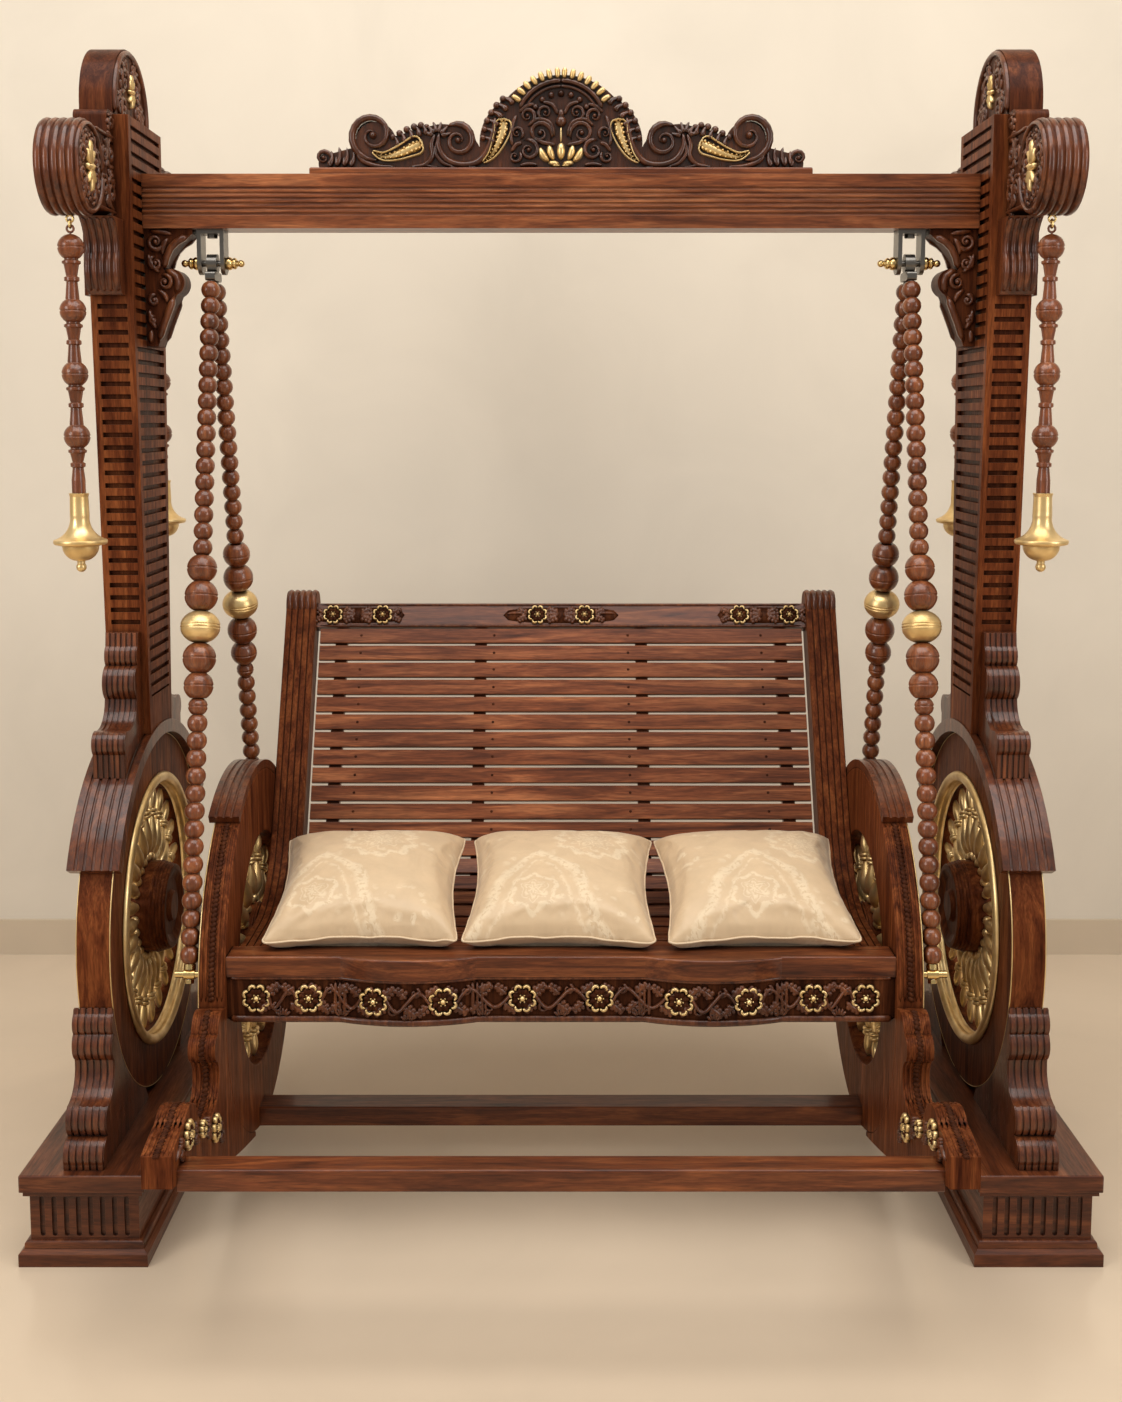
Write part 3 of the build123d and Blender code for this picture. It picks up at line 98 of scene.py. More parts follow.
def rubbing_and_shade_group():
    """Masks of rubbed edges and of hollows, and a normal that rounds sharp edges a little. The hollows mask is
    ambient occlusion, for painted shade.
    """
    group, start, end = new_group("rubbed edges and painted shade", (("Round", "Float"), ("Depth", "Float")),
                                  (("Edge", "Float"), ("Hollow", "Float"), ("Soft", "Vector")))
    soft = put(group, "ShaderNodeBevel", {"Radius": start["Round"]}, samples=4).outputs[0]
    flat = group.nodes.new("ShaderNodeNewGeometry").outputs["Normal"]
    turned = put(group, "ShaderNodeVectorMath", {0: soft, 1: flat}, operation="DOT_PRODUCT").outputs["Value"]
    open_air = put(group, "ShaderNodeAmbientOcclusion", {"Distance": start["Depth"]}, samples=6).outputs["AO"]
    group.links.new(spread(group, turned, 0.995, 0.85), end["Edge"])
    # the hollows mask marks where shade falls; the materials darken it as painted shade
    group.links.new(spread(group, open_air, 0.72, 0.2), end["Hollow"])
    group.links.new(soft, end["Soft"])
    return group


wood_grain = grain_group()
rubbing_and_shade = rubbing_and_shade_group()


def new_material(name):
    """A new material with its tree and its shader."""
    made = bpy.data.materials.new(name)
    made.use_nodes = True
    return made, made.node_tree, made.node_tree.nodes["Principled BSDF"]


def surface(tree, skin, colour, rough, height, rubbing_shade_node, strength, distance):
    """Gives the shader a colour, a roughness and a fine relief over softened edges."""
    bump = put(tree, "ShaderNodeBump", {"Height": height, "Normal": rubbing_shade_node.outputs["Soft"],
                                        "Strength": strength, "Distance": distance})
    for socket, value in (("Base Color", colour), ("Roughness", rough), ("Normal", bump.outputs[0])):
        tree.links.new(value, skin.inputs[socket])


def wood(name, along, dark, middle, light, hollow_shade=(0.016, 0.005, 0.0025), gloss=0.25):
    """Stained and lacquered wood, with its grain along one axis, or along each board's length, and painted
    shade in its hollows.
    """
    made, tree, skin = new_material(name)
    place = put(tree, "ShaderNodeTexCoord")
    grain = put(tree, "ShaderNodeGroup", {"Place": place.outputs["Object"]}, node_tree=wood_grain)
    drawn, fine = 0.55, 7.0      # how dense the figure is along the grain and across it
    if along == "board":
        facing = put(tree, "ShaderNodeSeparateXYZ", {0: place.outputs["Normal"]})
        end_face = put(tree, "ShaderNodeMath", {0: facing.outputs[1]}, operation="ABSOLUTE")
        turned = put(tree, "ShaderNodeMath", {0: end_face.outputs[0], 1: 0.7}, operation="GREATER_THAN")
        stretch = put(tree, "ShaderNodeMix", {0: turned.outputs[0], 4: (fine, drawn, fine),
                                              5: (drawn, fine, fine)}, data_type="VECTOR")
        tree.links.new(stretch.outputs[1], grain.inputs["Stretch"])
    else:
        grain.inputs["Stretch"].default_value = {"x": (drawn, fine, fine), "z": (fine, fine, drawn)}[along]
    rubbing_shade_node = put(tree, "ShaderNodeGroup", {"Round": 0.0016, "Depth": 0.014}, node_tree=rubbing_and_shade)
    tones = put(tree, "ShaderNodeValToRGB", {"Fac": grain.outputs["Figure"]})
    ramp = tones.color_ramp.elements
    ramp[0].position, ramp[0].color = 0.28, (*dark, 1)
    ramp[1].position, ramp[1].color = 0.72, (*light, 1)
    ramp.new(0.5).color = (*middle, 1)
    fibre = spread(tree, grain.outputs["Fibre"], 0.3, 0.7, 0.6, 1.2)
    streaked = mix(tree, 1.0, tones.outputs[0], fibre, "MULTIPLY")
    stained = mix(tree, 1.0, streaked, spread(tree, grain.outputs["Stain"], 0.3, 0.7, 0.72, 1.18), "MULTIPLY")
    rubbed = put(tree, "ShaderNodeMath", {0: rubbing_shade_node.outputs["Edge"], 1: 0.4}, operation="MULTIPLY").outputs[0]
    # painted shade: the hollows that the ambient-occlusion mask finds are darkened towards a shade colour
    sunk = mix(tree, rubbing_shade_node.outputs["Hollow"], mix(tree, rubbed, stained, light), hollow_shade)
    dull = spread(tree, grain.outputs["Fibre"], 0.3, 0.7, 0.5 - 0.3 * gloss, 0.36 - 0.3 * gloss)
    surface(tree, skin, sunk, dull, grain.outputs["Fibre"], rubbing_shade_node, 0.1, 0.0005)
    skin.inputs["Specular IOR Level"].default_value = 0.06 + 0.8 * gloss
    skin.inputs["Coat Weight"].default_value = gloss
    skin.inputs["Coat Roughness"].default_value = 0.1
    return made


wood_board = wood("dark wood in boards", "board", (0.036, 0.0075, 0.0027), (0.112, 0.028, 0.009),
                  (0.21, 0.062, 0.02))


def dress(material, slot, *names):
    """Gives CAD nodes a material; slot, the record's slot it stands for, is not used."""
    for name in names:
        piece = nodes[name]
        piece.data.materials.clear()
        piece.data.materials.append(material)


dress(wood_board, "wood", "plinth_left", "plinth_right", "plinth_tops")

# ---- Stand wheels
# Turned wooden rims stand on the plinths. Each holds a rounded gilt ring, gilt turned spokes and a
# reeded hub; an arched fender with grooves lies over it. A thin gold line runs round the rim's edge.
swing_line = 0.155           # the pivots' place, front to back
stand_wheel_z = 0.519
deep, red_brown, warm = (0.042, 0.0085, 0.003), (0.135, 0.034, 0.0105), (0.26, 0.078, 0.023)
wood_up = wood("dark wood along z", "z", deep, red_brown, warm, gloss=0.0)
lacquered = wood("dark lacquered wood", "z", (0.034, 0.0072, 0.0026), (0.108, 0.027, 0.0085),
                 (0.205, 0.06, 0.018), gloss=0.36)


def gilding(name, bright, shade, rough):
    """Gold leaf or gold lacquer over wood: warm, satin, browned in the hollows by antiquing and painted shade,
    and a little uneven.
    """
    made, tree, skin = new_material(name)
    place = put(tree, "ShaderNodeTexCoord").outputs["Object"]
    cloud = noise(tree, place, 26.0, 3.0)
    rubbing_shade_node = put(tree, "ShaderNodeGroup", {"Round": 0.001, "Depth": 0.012}, node_tree=rubbing_and_shade)
    leaf = mix(tree, spread(tree, cloud, 0.35, 0.68), shade, bright)
    # browned hollows: antiquing together with painted shade from the ambient-occlusion mask
    aged_and_shaded = mix(tree, rubbing_shade_node.outputs["Hollow"], leaf, (0.1, 0.045, 0.013))
    dull = spread(tree, cloud, 0.3, 0.7, rough + 0.07, rough - 0.05)
    surface(tree, skin, aged_and_shaded, dull, noise(tree, place, 420.0), rubbing_shade_node, 0.1, 0.0004)
    skin.inputs["Metallic"].default_value = 0.78
    return made


gilt = gilding("gilt", (0.9, 0.67, 0.33), (0.7, 0.48, 0.2), 0.34)


def placed(name, data):
    """Adds an object to the scene."""
    made = bpy.data.objects.new(name, data)
    bpy.context.scene.collection.objects.link(made)
    return made


def new_piece(name, shape, material):
    """Turns a bmesh into an object with a material."""
    mesh = bpy.data.meshes.new(name)
    shape.to_mesh(mesh)
    shape.free()
    mesh.materials.append(material)
    return placed(name, mesh)


def finished(name, body, shape, material, smooth=True):
    """Turns a bmesh into a piece of the swing that rides on a body."""
    bmesh.ops.recalc_face_normals(shape, faces=shape.faces)
    for face in shape.faces:
        face.smooth = smooth
    piece = new_piece(name, shape, material)
    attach(piece, body)
    return piece


def turned_ring(shape, profile, axle, steps=96):
    """Spins a closed profile of (x, radius) points about an axle that runs along x."""
    corners = [shape.verts.new((x, axle.y, axle.z + radius)) for x, radius in profile]
    edges = [shape.edges.new((a, b)) for a, b in zip(corners, corners[1:] + corners[:1])]
    bmesh.ops.spin(shape, geom=edges + corners, cent=axle, axis=(1, 0, 0), angle=2 * pi, steps=steps,
                   use_merge=True)


def round_profile(side, x, radius, breadth, rise, corners=8):
    """Round or oval section of a reed or a thin line, as a profile for turned_ring."""
    return [(side * (x + breadth * cos(a)), radius + rise * sin(a))
            for a in (2 * pi * i / corners for i in range(corners))]


ring_bead = 0.0105           # radius of the ring's rounded nose
ring_profile = [(0.83, 0.2618), (0.83, 0.2478), (0.822, 0.2478), (0.8195, 0.2512), (0.816, 0.2512)]
ring_profile += [(0.8142 - ring_bead * sin(a), 0.2612 - ring_bead * cos(a))
                 for a in (radians(18 * i) for i in range(11))]
ring_profile += [(0.8142, 0.2618)]
lining_profile = ((0.876, 0.2618), (0.876, 0.249), (0.831, 0.249), (0.831, 0.2618))
stand_axle = Vector((0, swing_line, stand_wheel_z))
rings, linings, gold_lines = bmesh.new(), bmesh.new(), bmesh.new()
for side in (-1, 1):
    turned_ring(rings, [(side * x, radius) for x, radius in ring_profile], stand_axle, 120)
    turned_ring(linings, [(side * x, radius) for x, radius in lining_profile], stand_axle)
    for x in (0.8148, 0.8752):
        turned_ring(gold_lines, round_profile(side, x, 0.3502, 0.0013, 0.0013, 6), stand_axle, 120)
stand_rings = finished("stand_gilt_rings", "stand", rings, gilt)
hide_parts("stand_rings")
finished("stand_ring_linings", "stand", linings, wood_up)
finished("rim_gold_lines", "stand", gold_lines, gilt)
dress(gilt, "gilt", "stand_spokes")
dress(wood_up, "wood", "stand_rim_left", "stand_rim_right", "stand_hubs")
dress(lacquered, "wood", "stand_fenders")

# ---- Scroll legs, post brackets and posts
# Reeded scrolls are glued in front of and behind each wheel and each post. The posts taper upwards and
# carry rows of louvred slots, worked into frames that are left standing.
dress(lacquered, "wood", "scroll_legs", "post_brackets")
dress(wood_up, "wood", "post_left", "post_right")

# ---- Heads and corbels
# Each head is sawn from boards glued side by side, with two turned rolls and an arch, and its inner
# face is carved with leaves. The carving is cut with gouges, so each stroke swells and tapers.
head_wood = wood("dark head wood", "z", (0.027, 0.0058, 0.0022), (0.082, 0.0205, 0.0068),
                 (0.16, 0.046, 0.014), gloss=0.03)
dress(head_wood, "wood", "head_left", "head_right")
dress(lacquered, "wood", "corbels")
chips = bpy.data.meshes.new("chips")


def join(shape, part, matrix=None):
    """Adds a small finished form to a larger carving."""
    if matrix:
        bmesh.ops.transform(part, matrix=matrix, verts=part.verts)
    part.to_mesh(chips)
    part.free()
    shape.from_mesh(chips)


def swelling(t):
    """Breadth of a stroke that is thickest in its middle."""
    return sin(pi * t) ** 0.6


def whole(t):
    """Breadth of a stroke that stays the same from end to end."""
    return 1


def fading(t):
    """Breadth of a stroke that is thick at its root and thin at its end."""
    return min(1, 7 * t + 0.2) * (1 - 0.72 * t) * min(1, 9 * (1 - t) + 0.25)


def stroke(shape, line, place, breadth, rise, swell=swelling):
    """Bends a small ball along a line of (u, v) points into one carved stroke on a surface."""
    last = len(line) - 1
    points = [place(*point) for point in line]
    ball = bmesh.new()
    bmesh.ops.create_uvsphere(ball, u_segments=6, v_segments=last, radius=1)
    for vertex in ball.verts:
        step = round(acos(max(-1, min(1, vertex.co.z))) / pi * last)
        spot, out = points[step]
        run = points[min(step + 1, last)][0] - points[max(step - 1, 0)][0]
        aside = out.cross(run).normalized()
        turn = Vector((vertex.co.x, vertex.co.y, 0))
        if turn.length > 1e-4:
            turn.normalize()
        width = swell(step / last)
        vertex.co = spot + aside * turn.x * breadth * width + out * turn.y * rise * min(1, width + 0.25)
    join(shape, ball)


def polar(centre, reach, angle):
    """The point at a distance and an angle from a centre."""
    return centre[0] + reach * cos(angle), centre[1] + reach * sin(angle)


def curl(centre, radius, start, turns, inner=0.18, points=15):
    """Spiral that winds inwards; start is in degrees and negative turns wind the other way."""
    return [polar(centre, radius * (1 - t * (1 - inner)), radians(start + 360 * turns * t))
            for t in (i / (points - 1) for i in range(points))]


def bow(start, end, bend, points=11):
    """Curved line between two points, bent aside by bend times its length."""
    (x0, y0), (x1, y1) = start, end
    mx, my = (x0 + x1) / 2 - bend * (y1 - y0), (y0 + y1) / 2 + bend * (x1 - x0)
    line = []
    for i in range(points):
        t = i / (points - 1)
        line.append(((1 - t) ** 2 * x0 + 2 * t * (1 - t) * mx + t ** 2 * x1,
                     (1 - t) ** 2 * y0 + 2 * t * (1 - t) * my + t ** 2 * y1))
    return line


def boss(shape, spot, place, radius, rise):
    """Round knob carved on a surface."""
    centre, out = place(*spot)
    turn = out.to_track_quat("Z", "Y").to_matrix().to_4x4()
    ball = bmesh.new()
    bmesh.ops.create_uvsphere(ball, u_segments=10, v_segments=6, radius=1)
    join(shape, ball, Matrix.Translation(centre) @ turn @ Matrix.Diagonal((radius, radius, rise, 1)))


def foliage(shape, place, root, reach, heading, hand, size):
    """One acanthus scroll: a volute with a boss, and leaves that fan out along its back."""
    centre = polar(root, reach, radians(heading))
    stroke(shape, curl(centre, reach, heading + 180, 1.35 * hand, points=21), place, size, size * 0.9, fading)
    boss(shape, centre, place, size * 1.1, size)
    for i in range(5):
        b = radians(heading + 180 + hand * (28 + 48 * i))
        base = polar(centre, reach * 0.98, b)
        tip = polar(centre, reach * (1.52 - 0.1 * i), b + hand * 0.75)
        stroke(shape, bow(base, tip, -0.25 * hand, 8), place, size * 0.85, size * 0.7)


# near-black painted shade for the hollows of the carved wood
dark_hollow_shade = (0.007, 0.0024, 0.0012)
# dark wood for the rope, the screws and the rosette petals, and painted shade where it lies as the ground
# behind relief carving
dark_wood_and_ground_shade = wood("dark carved wood and ground shade", "z", (0.024, 0.006, 0.0025), (0.06, 0.0165, 0.006),
                    (0.125, 0.038, 0.0135), hollow_shade=dark_hollow_shade, gloss=0.0)
carved_wood = wood("carved wood", "z", (0.046, 0.0105, 0.004), (0.12, 0.033, 0.011),
                   (0.23, 0.072, 0.024), hollow_shade=dark_hollow_shade, gloss=0.3)
roll_z, roll_reach, roll_middle = 1.937, 0.294, 0.8595
arch_z = 2.082
head_face, roll_face = 0.829, 0.8245


def side_face(side, x):
    """The inner face of a side board, at x from the middle: u runs backwards and v upwards."""
    def place(u, v):
        return Vector((side * x, swing_line + u, v)), Vector((-side, 0, 0))
    return place


def round_line(centre, radius, start, stop, steps):
    """Line along a circle, between two angles in degrees."""
    return [polar(centre, radius, radians(start + (stop - start) * i / steps)) for i in range(steps + 1)]


def arc_through(a, b, c, points):
    """Points on the circle through three points, from the first to the last."""
    (ax, ay), (bx, by), (cx, cy) = a, b, c
    a2, b2, c2 = ax * ax + ay * ay, bx * bx + by * by, cx * cx + cy * cy
    d = 2 * (ax * (by - cy) + bx * (cy - ay) + cx * (ay - by))
    ux = (a2 * (by - cy) + b2 * (cy - ay) + c2 * (ay - by)) / d
    uy = (a2 * (cx - bx) + b2 * (ax - cx) + c2 * (bx - ax)) / d
    radius = sqrt((ax - ux) ** 2 + (ay - uy) ** 2)
    start, middle, stop = (atan2(y - uy, x - ux) for x, y in (a, b, c))
    turn = (stop - start) % (2 * pi)
    if (middle - start) % (2 * pi) > turn:
        turn -= 2 * pi
    return [polar((ux, uy), radius, start + turn * i / (points - 1)) for i in range(points)]


def spray(shape, spot, place, size):
    """Upright gilt blossom: long petals up and down, short ones aside."""
    for heading, length in ((90, 1), (62, 0.74), (118, 0.74), (270, 0.9), (240, 0.66), (300, 0.66),
                            (8, 0.42), (172, 0.42)):
        tip = polar(spot, size * length, radians(heading))
        stroke(shape, bow(spot, tip, 0.14, 8), place, size * 0.13, 0.0095)
    boss(shape, spot, place, size * 0.2, 0.0115)


head_scrolls = (((0.126, 1.889), 0.027, 48, 1, 0.0062), ((0.128, 2.003), 0.025, -42, -1, 0.006),
                ((0.186, 1.893), 0.022, 88, -1, 0.0055), ((0.19, 2.004), 0.021, -96, 1, 0.0055),
                ((0.126, 1.945), 0.016, 0, 1, 0.005), ((0.127, 2.03), 0.015, 30, -1, 0.0046),
                ((0.02, 2.072), 0.03, 24, 1, 0.0062), ((0.016, 2.12), 0.027, 38, -1, 0.006),
                ((0.072, 2.068), 0.019, 80, -1, 0.005), ((0.008, 2.165), 0.016, 10, 1, 0.0045))
corbel_line = (arc_through((-0.139, 1.732), (-0.160, 1.768), (-0.152, 1.806), 10)
               + arc_through((-0.152, 1.806), (-0.160, 1.842), (-0.184, 1.866), 9)[1:])
head_shade_ground, head_leaves, head_gold, head_reeds = (bmesh.new() for _ in range(4))
for side in (-1, 1):
    on_head, on_roll = side_face(side, head_face - 0.001), side_face(side, roll_face - 0.001)

    # thin dark discs and panels laid on the face: painted shade for the carving's sunk ground
    def sunk_disc(x, u, v, radius):
        disc = bmesh.new()
        bmesh.ops.create_cone(disc, cap_ends=True, segments=48, radius1=radius, radius2=radius, depth=0.0016)
        spot = Matrix.Translation((side * x, swing_line + u, v))
        join(head_shade_ground, disc, spot @ Matrix.Rotation(pi / 2, 4, "Y"))

    def sunk_panel(u, v, width, height):
        panel = bmesh.new()
        bmesh.ops.create_cube(panel, size=1)
        join(head_shade_ground, panel, Matrix.Translation((side * head_face, swing_line + u, v))
             @ Matrix.Diagonal((0.0014, width, height, 1)))

    sunk_disc(head_face, 0, arch_z, 0.109)
    stroke(head_leaves, round_line((0, arch_z), 0.111, -10, 190, 30), on_head, 0.0052, 0.0075, whole)
    spray(head_gold, (0, 2.122), on_head, 0.036)
    for end in (-1, 1):
        roll = (end * roll_reach, roll_z)
        sunk_disc(roll_face, *roll, 0.072)
        sunk_panel(end * 0.178, 1.947, 0.116, 0.128)
        sunk_panel(end * 0.137, 2.028, 0.034, 0.05)
        stroke(head_leaves, round_line(roll, 0.0745, 0, 360, 40), on_roll, 0.0042, 0.0065, whole)
        spray(head_gold, roll, on_roll, 0.05)
        for i, root in enumerate(round_line(roll, 0.022, 22, 337, 7)):
            foliage(head_leaves, on_roll, root, 0.0195, 45 * i + 22, 1 if i % 2 else -1, 0.0052)
        for root, reach, heading, hand, size in head_scrolls:
            foliage(head_leaves, on_head, (end * root[0], root[1]), reach,
                    heading if end > 0 else 180 - heading, hand * end, size)
        for z in (1.8795, 2.0145):
            stroke(head_leaves, bow((end * 0.12, z), (end * 0.245, z), 0, 12), on_head, 0.0036, 0.006, whole)
        roll_axle = Vector((0, swing_line + end * roll_reach, roll_z))
        for x in (-0.028, -0.014, 0, 0.014, 0.028):
            turned_ring(head_reeds, round_profile(side, roll_middle + x, 0.0792, 0.0061, 0.0042), roll_axle, 64)
        for offset in (-0.0256, -0.0128, 0, 0.0128, 0.0256):
            def on_corbel(u, v):
                return Vector((side * (0.846 + offset), swing_line - end * u, v)), Vector((0, end, 0))

            stroke(head_reeds, corbel_line, on_corbel, 0.0053, 0.0042, whole)
finished("head_painted_shade_ground", "stand", head_shade_ground, dark_wood_and_ground_shade, smooth=False)
finished("head_leaf_carving", "stand", head_leaves, carved_wood)
finished("head_gilt_flowers", "stand", head_gold, gilt)
finished("head_reeds", "stand", head_reeds, lacquered)

# ---- Beam and crest board
# The beam is one plank of a lighter, streaky wood between the posts, with reeds run along both faces.
# A thin moulded board on its middle carries the crest.
beam_wood = wood("beam wood", "x", (0.07, 0.0165, 0.0055), (0.2, 0.057, 0.0185), (0.4, 0.145, 0.055))
dress(beam_wood, "wood_light", "beam")
wood_along = wood("dark wood along x", "x", deep, red_brown, warm)
dress(wood_along, "wood", "crest_board")

# ---- Crest
# The crest is carved from one board: two pairs of volutes, a fan between them and an arched middle with
# a lotus. Paisleys, lotus and rays are gilded; the rest is stained dark brown.
crest_foot = 1.978
crest_face = 0.0128          # half the thickness of the carved board
arch_foot = 84               # the arch's centre above the crest's foot, in millimetres
crest_wood = wood("dark glossy crest wood", "z", (0.03, 0.0078, 0.003), (0.072, 0.02, 0.0068),
                  (0.145, 0.043, 0.0145), hollow_shade=(0.008, 0.0025, 0.0011), gloss=0.42)
cut = bmesh.new()
cut.from_mesh(nodes["crest"].data)
bmesh.ops.remove_doubles(cut, verts=cut.verts, dist=1e-5)
bmesh.ops.scale(cut, verts=cut.verts, vec=(0.975, 0.6, 0.93),
                space=Matrix.Translation((0, -swing_line, -crest_foot)))
crest_ground = finished("crest_ground", "stand", cut, crest_wood, smooth=False)
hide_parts("crest")


def smooth_line(corners, points=17):
    """Flowing line through a few corners, rounded between them."""
    line = []
    padded = [corners[0]] + corners + [corners[-1]]
    spans = len(corners) - 1
    for i in range(points):
        t = i / (points - 1) * spans
        k = min(int(t), spans - 1)
        f = t - k
        a, b, c, d = padded[k:k + 4]
        line.append(tuple(0.5 * (2 * q + (r - p) * f + (2 * p - 5 * q + 4 * r - s) * f * f
                                 + (3 * q - p - 3 * r + s) * f ** 3) for p, q, r, s in zip(a, b, c, d)))
    return line


def even(t):
    """Breadth of a stroke that is nearly even, with rounded ends."""
    return sin(pi * t) ** 0.3


def paisley(t):
    """Breadth of a paisley from its round head to its tip."""
    head = sqrt(max(0, 1 - (1 - t / 0.2) ** 2)) if t < 0.2 else 1
    return head * (1 - max(0, t - 0.2) / 0.8) ** 0.75


def board_face(side, face, reach, foot=0.0):
    """The front or the rear of a board, in millimetres: u runs outwards and v up from its foot."""
    def place(u, v):
        return Vector((side * u / 1000, swing_line + face * reach, foot + v / 1000)), Vector((0, face, 0))
    return place


crest_carving, crest_gold = bmesh.new(), bmesh.new()
random.seed(7)
for face in (-1, 1):
    for side in (-1, 1):
        on_crest = board_face(side, face, crest_face, crest_foot)

        def carve(line, breadth, rise, swell=fading):
            stroke(crest_carving, line, on_crest, breadth / 1000, rise / 1000, swell)

        def knob(spot, radius, rise):
            boss(crest_carving, spot, on_crest, radius / 1000, rise / 1000)

        # leaves at the outer end, with a small curl
        carve(curl((455, 20), 15, 200, -1.3), 5.5, 10)
        knob((455, 20), 5, 11)
        for u, tip, v in ((446, 441, 34), (433, 426, 41), (419, 411, 40), (406, 398, 34)):
            carve(bow((u, 3), (tip, v), 0.3, 9), 7.5, 11)
            carve(bow((u - 6, 2), (tip + 3, v - 17), -0.25, 7), 4.5, 12)
        # first volute
        carve(curl((360, 62), 48, -112, 1.62, inner=0.13, points=31), 8.5, 14)
        knob((360, 62), 7.5, 15)
        carve(smooth_line([(392, 40), (382, 16), (352, 4), (318, 3)]), 6.5, 11, even)
        # leaf lobes along the top, from the volute to the fan
        for u, v, size in ((322, 61, 7), (309, 68, 7.5), (295, 75, 8), (281, 80, 8), (268, 83, 7.5),
                           (257, 80, 6.5)):
            carve(bow((u - 9, v - 22), (u, v), 0.35, 8), size, 12)
            knob((u, v - 2), size * 0.9, 11)
        # fan between the volutes, over a stem
        for i in range(6):
            a = radians(14 + 30 * i)
            root, tip = (237 + 6 * cos(a), 60 + 6 * sin(a)), (237 + 31 * cos(a), 60 + 29 * sin(a))
            carve(bow(root, tip, 0.12, 8), 6.5, 13)
        carve(smooth_line([(240, 66), (248, 44), (246, 24), (262, 6), (292, 3)]), 6, 12, even)
        carve(smooth_line([(236, 54), (240, 30), (226, 10), (205, 3)]), 5, 11, even)
        # second volute and the long sweep that cradles it
        carve(curl((197, 52), 34, 44, 1.5, inner=0.15, points=27), 8, 13.5)
        knob((197, 52), 6.5, 15)
        carve(smooth_line([(232, 68), (235, 44), (221, 18), (192, 7), (160, 12), (140, 36), (130, 66),
                           (125, 98)], 29), 7.5, 13, even)
        for start, end in (((178, 4), (160, 3)), ((214, 3), (190, 3)), ((268, 10), (232, 4))):
            carve(bow(start, end, 0.2, 7), 5, 10)
        # leaf lobes that climb the arch's flank
        for u, v, size in ((150, 58, 7.5), (147, 74, 8), (142, 90, 8.5), (134, 105, 8.5), (124, 119, 8.5),
                           (112, 131, 8)):
            carve(bow((u - 22, v - 12), (u, v), 0.3, 9), size, 13)
            knob((u - 1, v - 1), size * 0.85, 12)
        # arch mouldings and beads under the rays
        for reach, breadth, rise in ((79, 5.5, 14), (69, 3.2, 12)):
            carve([(reach * sin(a) * 1.06, arch_foot + reach * cos(a))
                   for a in (radians(3.6 * i - 2) for i in range(21))], breadth, rise, whole)
        for i in range(4):
            a = radians(19 * i)
            knob((58 * sin(a), arch_foot + 56 * cos(a)), 6.8, 13)
        # scrolled leaves that fill the arch
        for centre, radius, start, turns, breadth in (
                ((40, 66), 24, 215, -1.45, 6.5), ((62, 34), 21, 60, 1.4, 6), ((30, 104), 15, -80, 1.3, 5),
                ((64, 98), 16, 250, -1.3, 5.5), ((88, 22), 13, 120, 1.3, 4.5), ((84, 66), 13, 250, -1.3, 4.5)):
            carve(curl(centre, radius, start, turns, points=21), breadth, 13)
            knob(centre, breadth * 0.85, 14)
        for corners in (((12, 58), (20, 84), (44, 92), (64, 78)), ((10, 44), (34, 48), (52, 56)),
                        ((44, 6), (62, 8), (80, 5)), ((92, 40), (96, 60), (92, 84), (84, 100)),
                        ((6, 100), (16, 118), (36, 124)), ((50, 120), (66, 116), (80, 104)),
                        ((74, 48), (86, 44), (96, 30))):
            carve(smooth_line(list(corners), 11), 5, 12, even)
        # gilded paisleys: a rim round a mottled field
        for corners, radius in (([(266, 48), (284, 40), (312, 28), (340, 22), (362, 32)], 17.5),
                                ([(109, 92), (112, 70), (122, 44), (134, 24), (150, 10)], 16.5)):
            spine = smooth_line(corners, 25)
            left, right = [], []
            for i, (u, v) in enumerate(spine):
                t = i / 24
                before, after = spine[max(i - 1, 0)], spine[min(i + 1, 24)]
                du, dv = after[0] - before[0], after[1] - before[1]
                half = radius * paisley(t) / sqrt(du * du + dv * dv)
                left.append((u - dv * half, v + du * half))
                right.append((u + dv * half, v - du * half))
                if i % 2 and i < 22:
                    for j in (-0.4, 0.4):
                        astray_u, astray_v = random.uniform(-1, 1), random.uniform(-1, 1)
                        spot = (u - j * dv * half + astray_u, v + j * du * half + astray_v)
                        rise = random.uniform(0.0075, 0.0105)
                        boss(crest_gold, spot, on_crest, 0.0042 * (1 - 0.55 * t), rise)
            stroke(crest_gold, spine, on_crest, radius * 0.00072, 0.0062, paisley)
            stroke(crest_gold, right[::-1] + left[1:], on_crest, 0.0021, 0.0125, whole)
        # gilded rays that crown the arch
        for i in range(7):
            a = radians(4.6 + 9.4 * i)
            reach = 1 + 0.0005 * i * i
            root, tip = ((far * sin(a) * reach, arch_foot + (far - 2) * cos(a)) for far in (84, 107))
            stroke(crest_gold, bow(root, tip, 0.1, 8), on_crest, 0.006, 0.0145, even)
        # gilded lotus
        for start, end, bend, breadth in (((20, 12), (40, 42), -0.3, 8), ((12, 14), (22, 46), -0.2, 7.5),
                                          ((2, 9), (25, 12), -0.15, 6.5), ((0, 4), (18, 5), 0, 4)):
            stroke(crest_gold, bow(start, end, bend, 9), on_crest, breadth / 1000, 0.014)
    stroke(crest_gold, bow((0, 14), (0, 50), 0, 8), on_crest, 0.009, 0.016)
    stroke(crest_gold, bow((0, 46), (0, 80), 0, 7), on_crest, 0.0024, 0.0145)
    knob((0, 88), 11.5, 14)
    stroke(crest_carving, bow((0, 92), (0, 112), 0, 7), on_crest, 0.007, 0.014)
finished("crest_carving", "stand", crest_carving, crest_wood)
finished("crest_gilding", "stand", crest_gold, gilt)

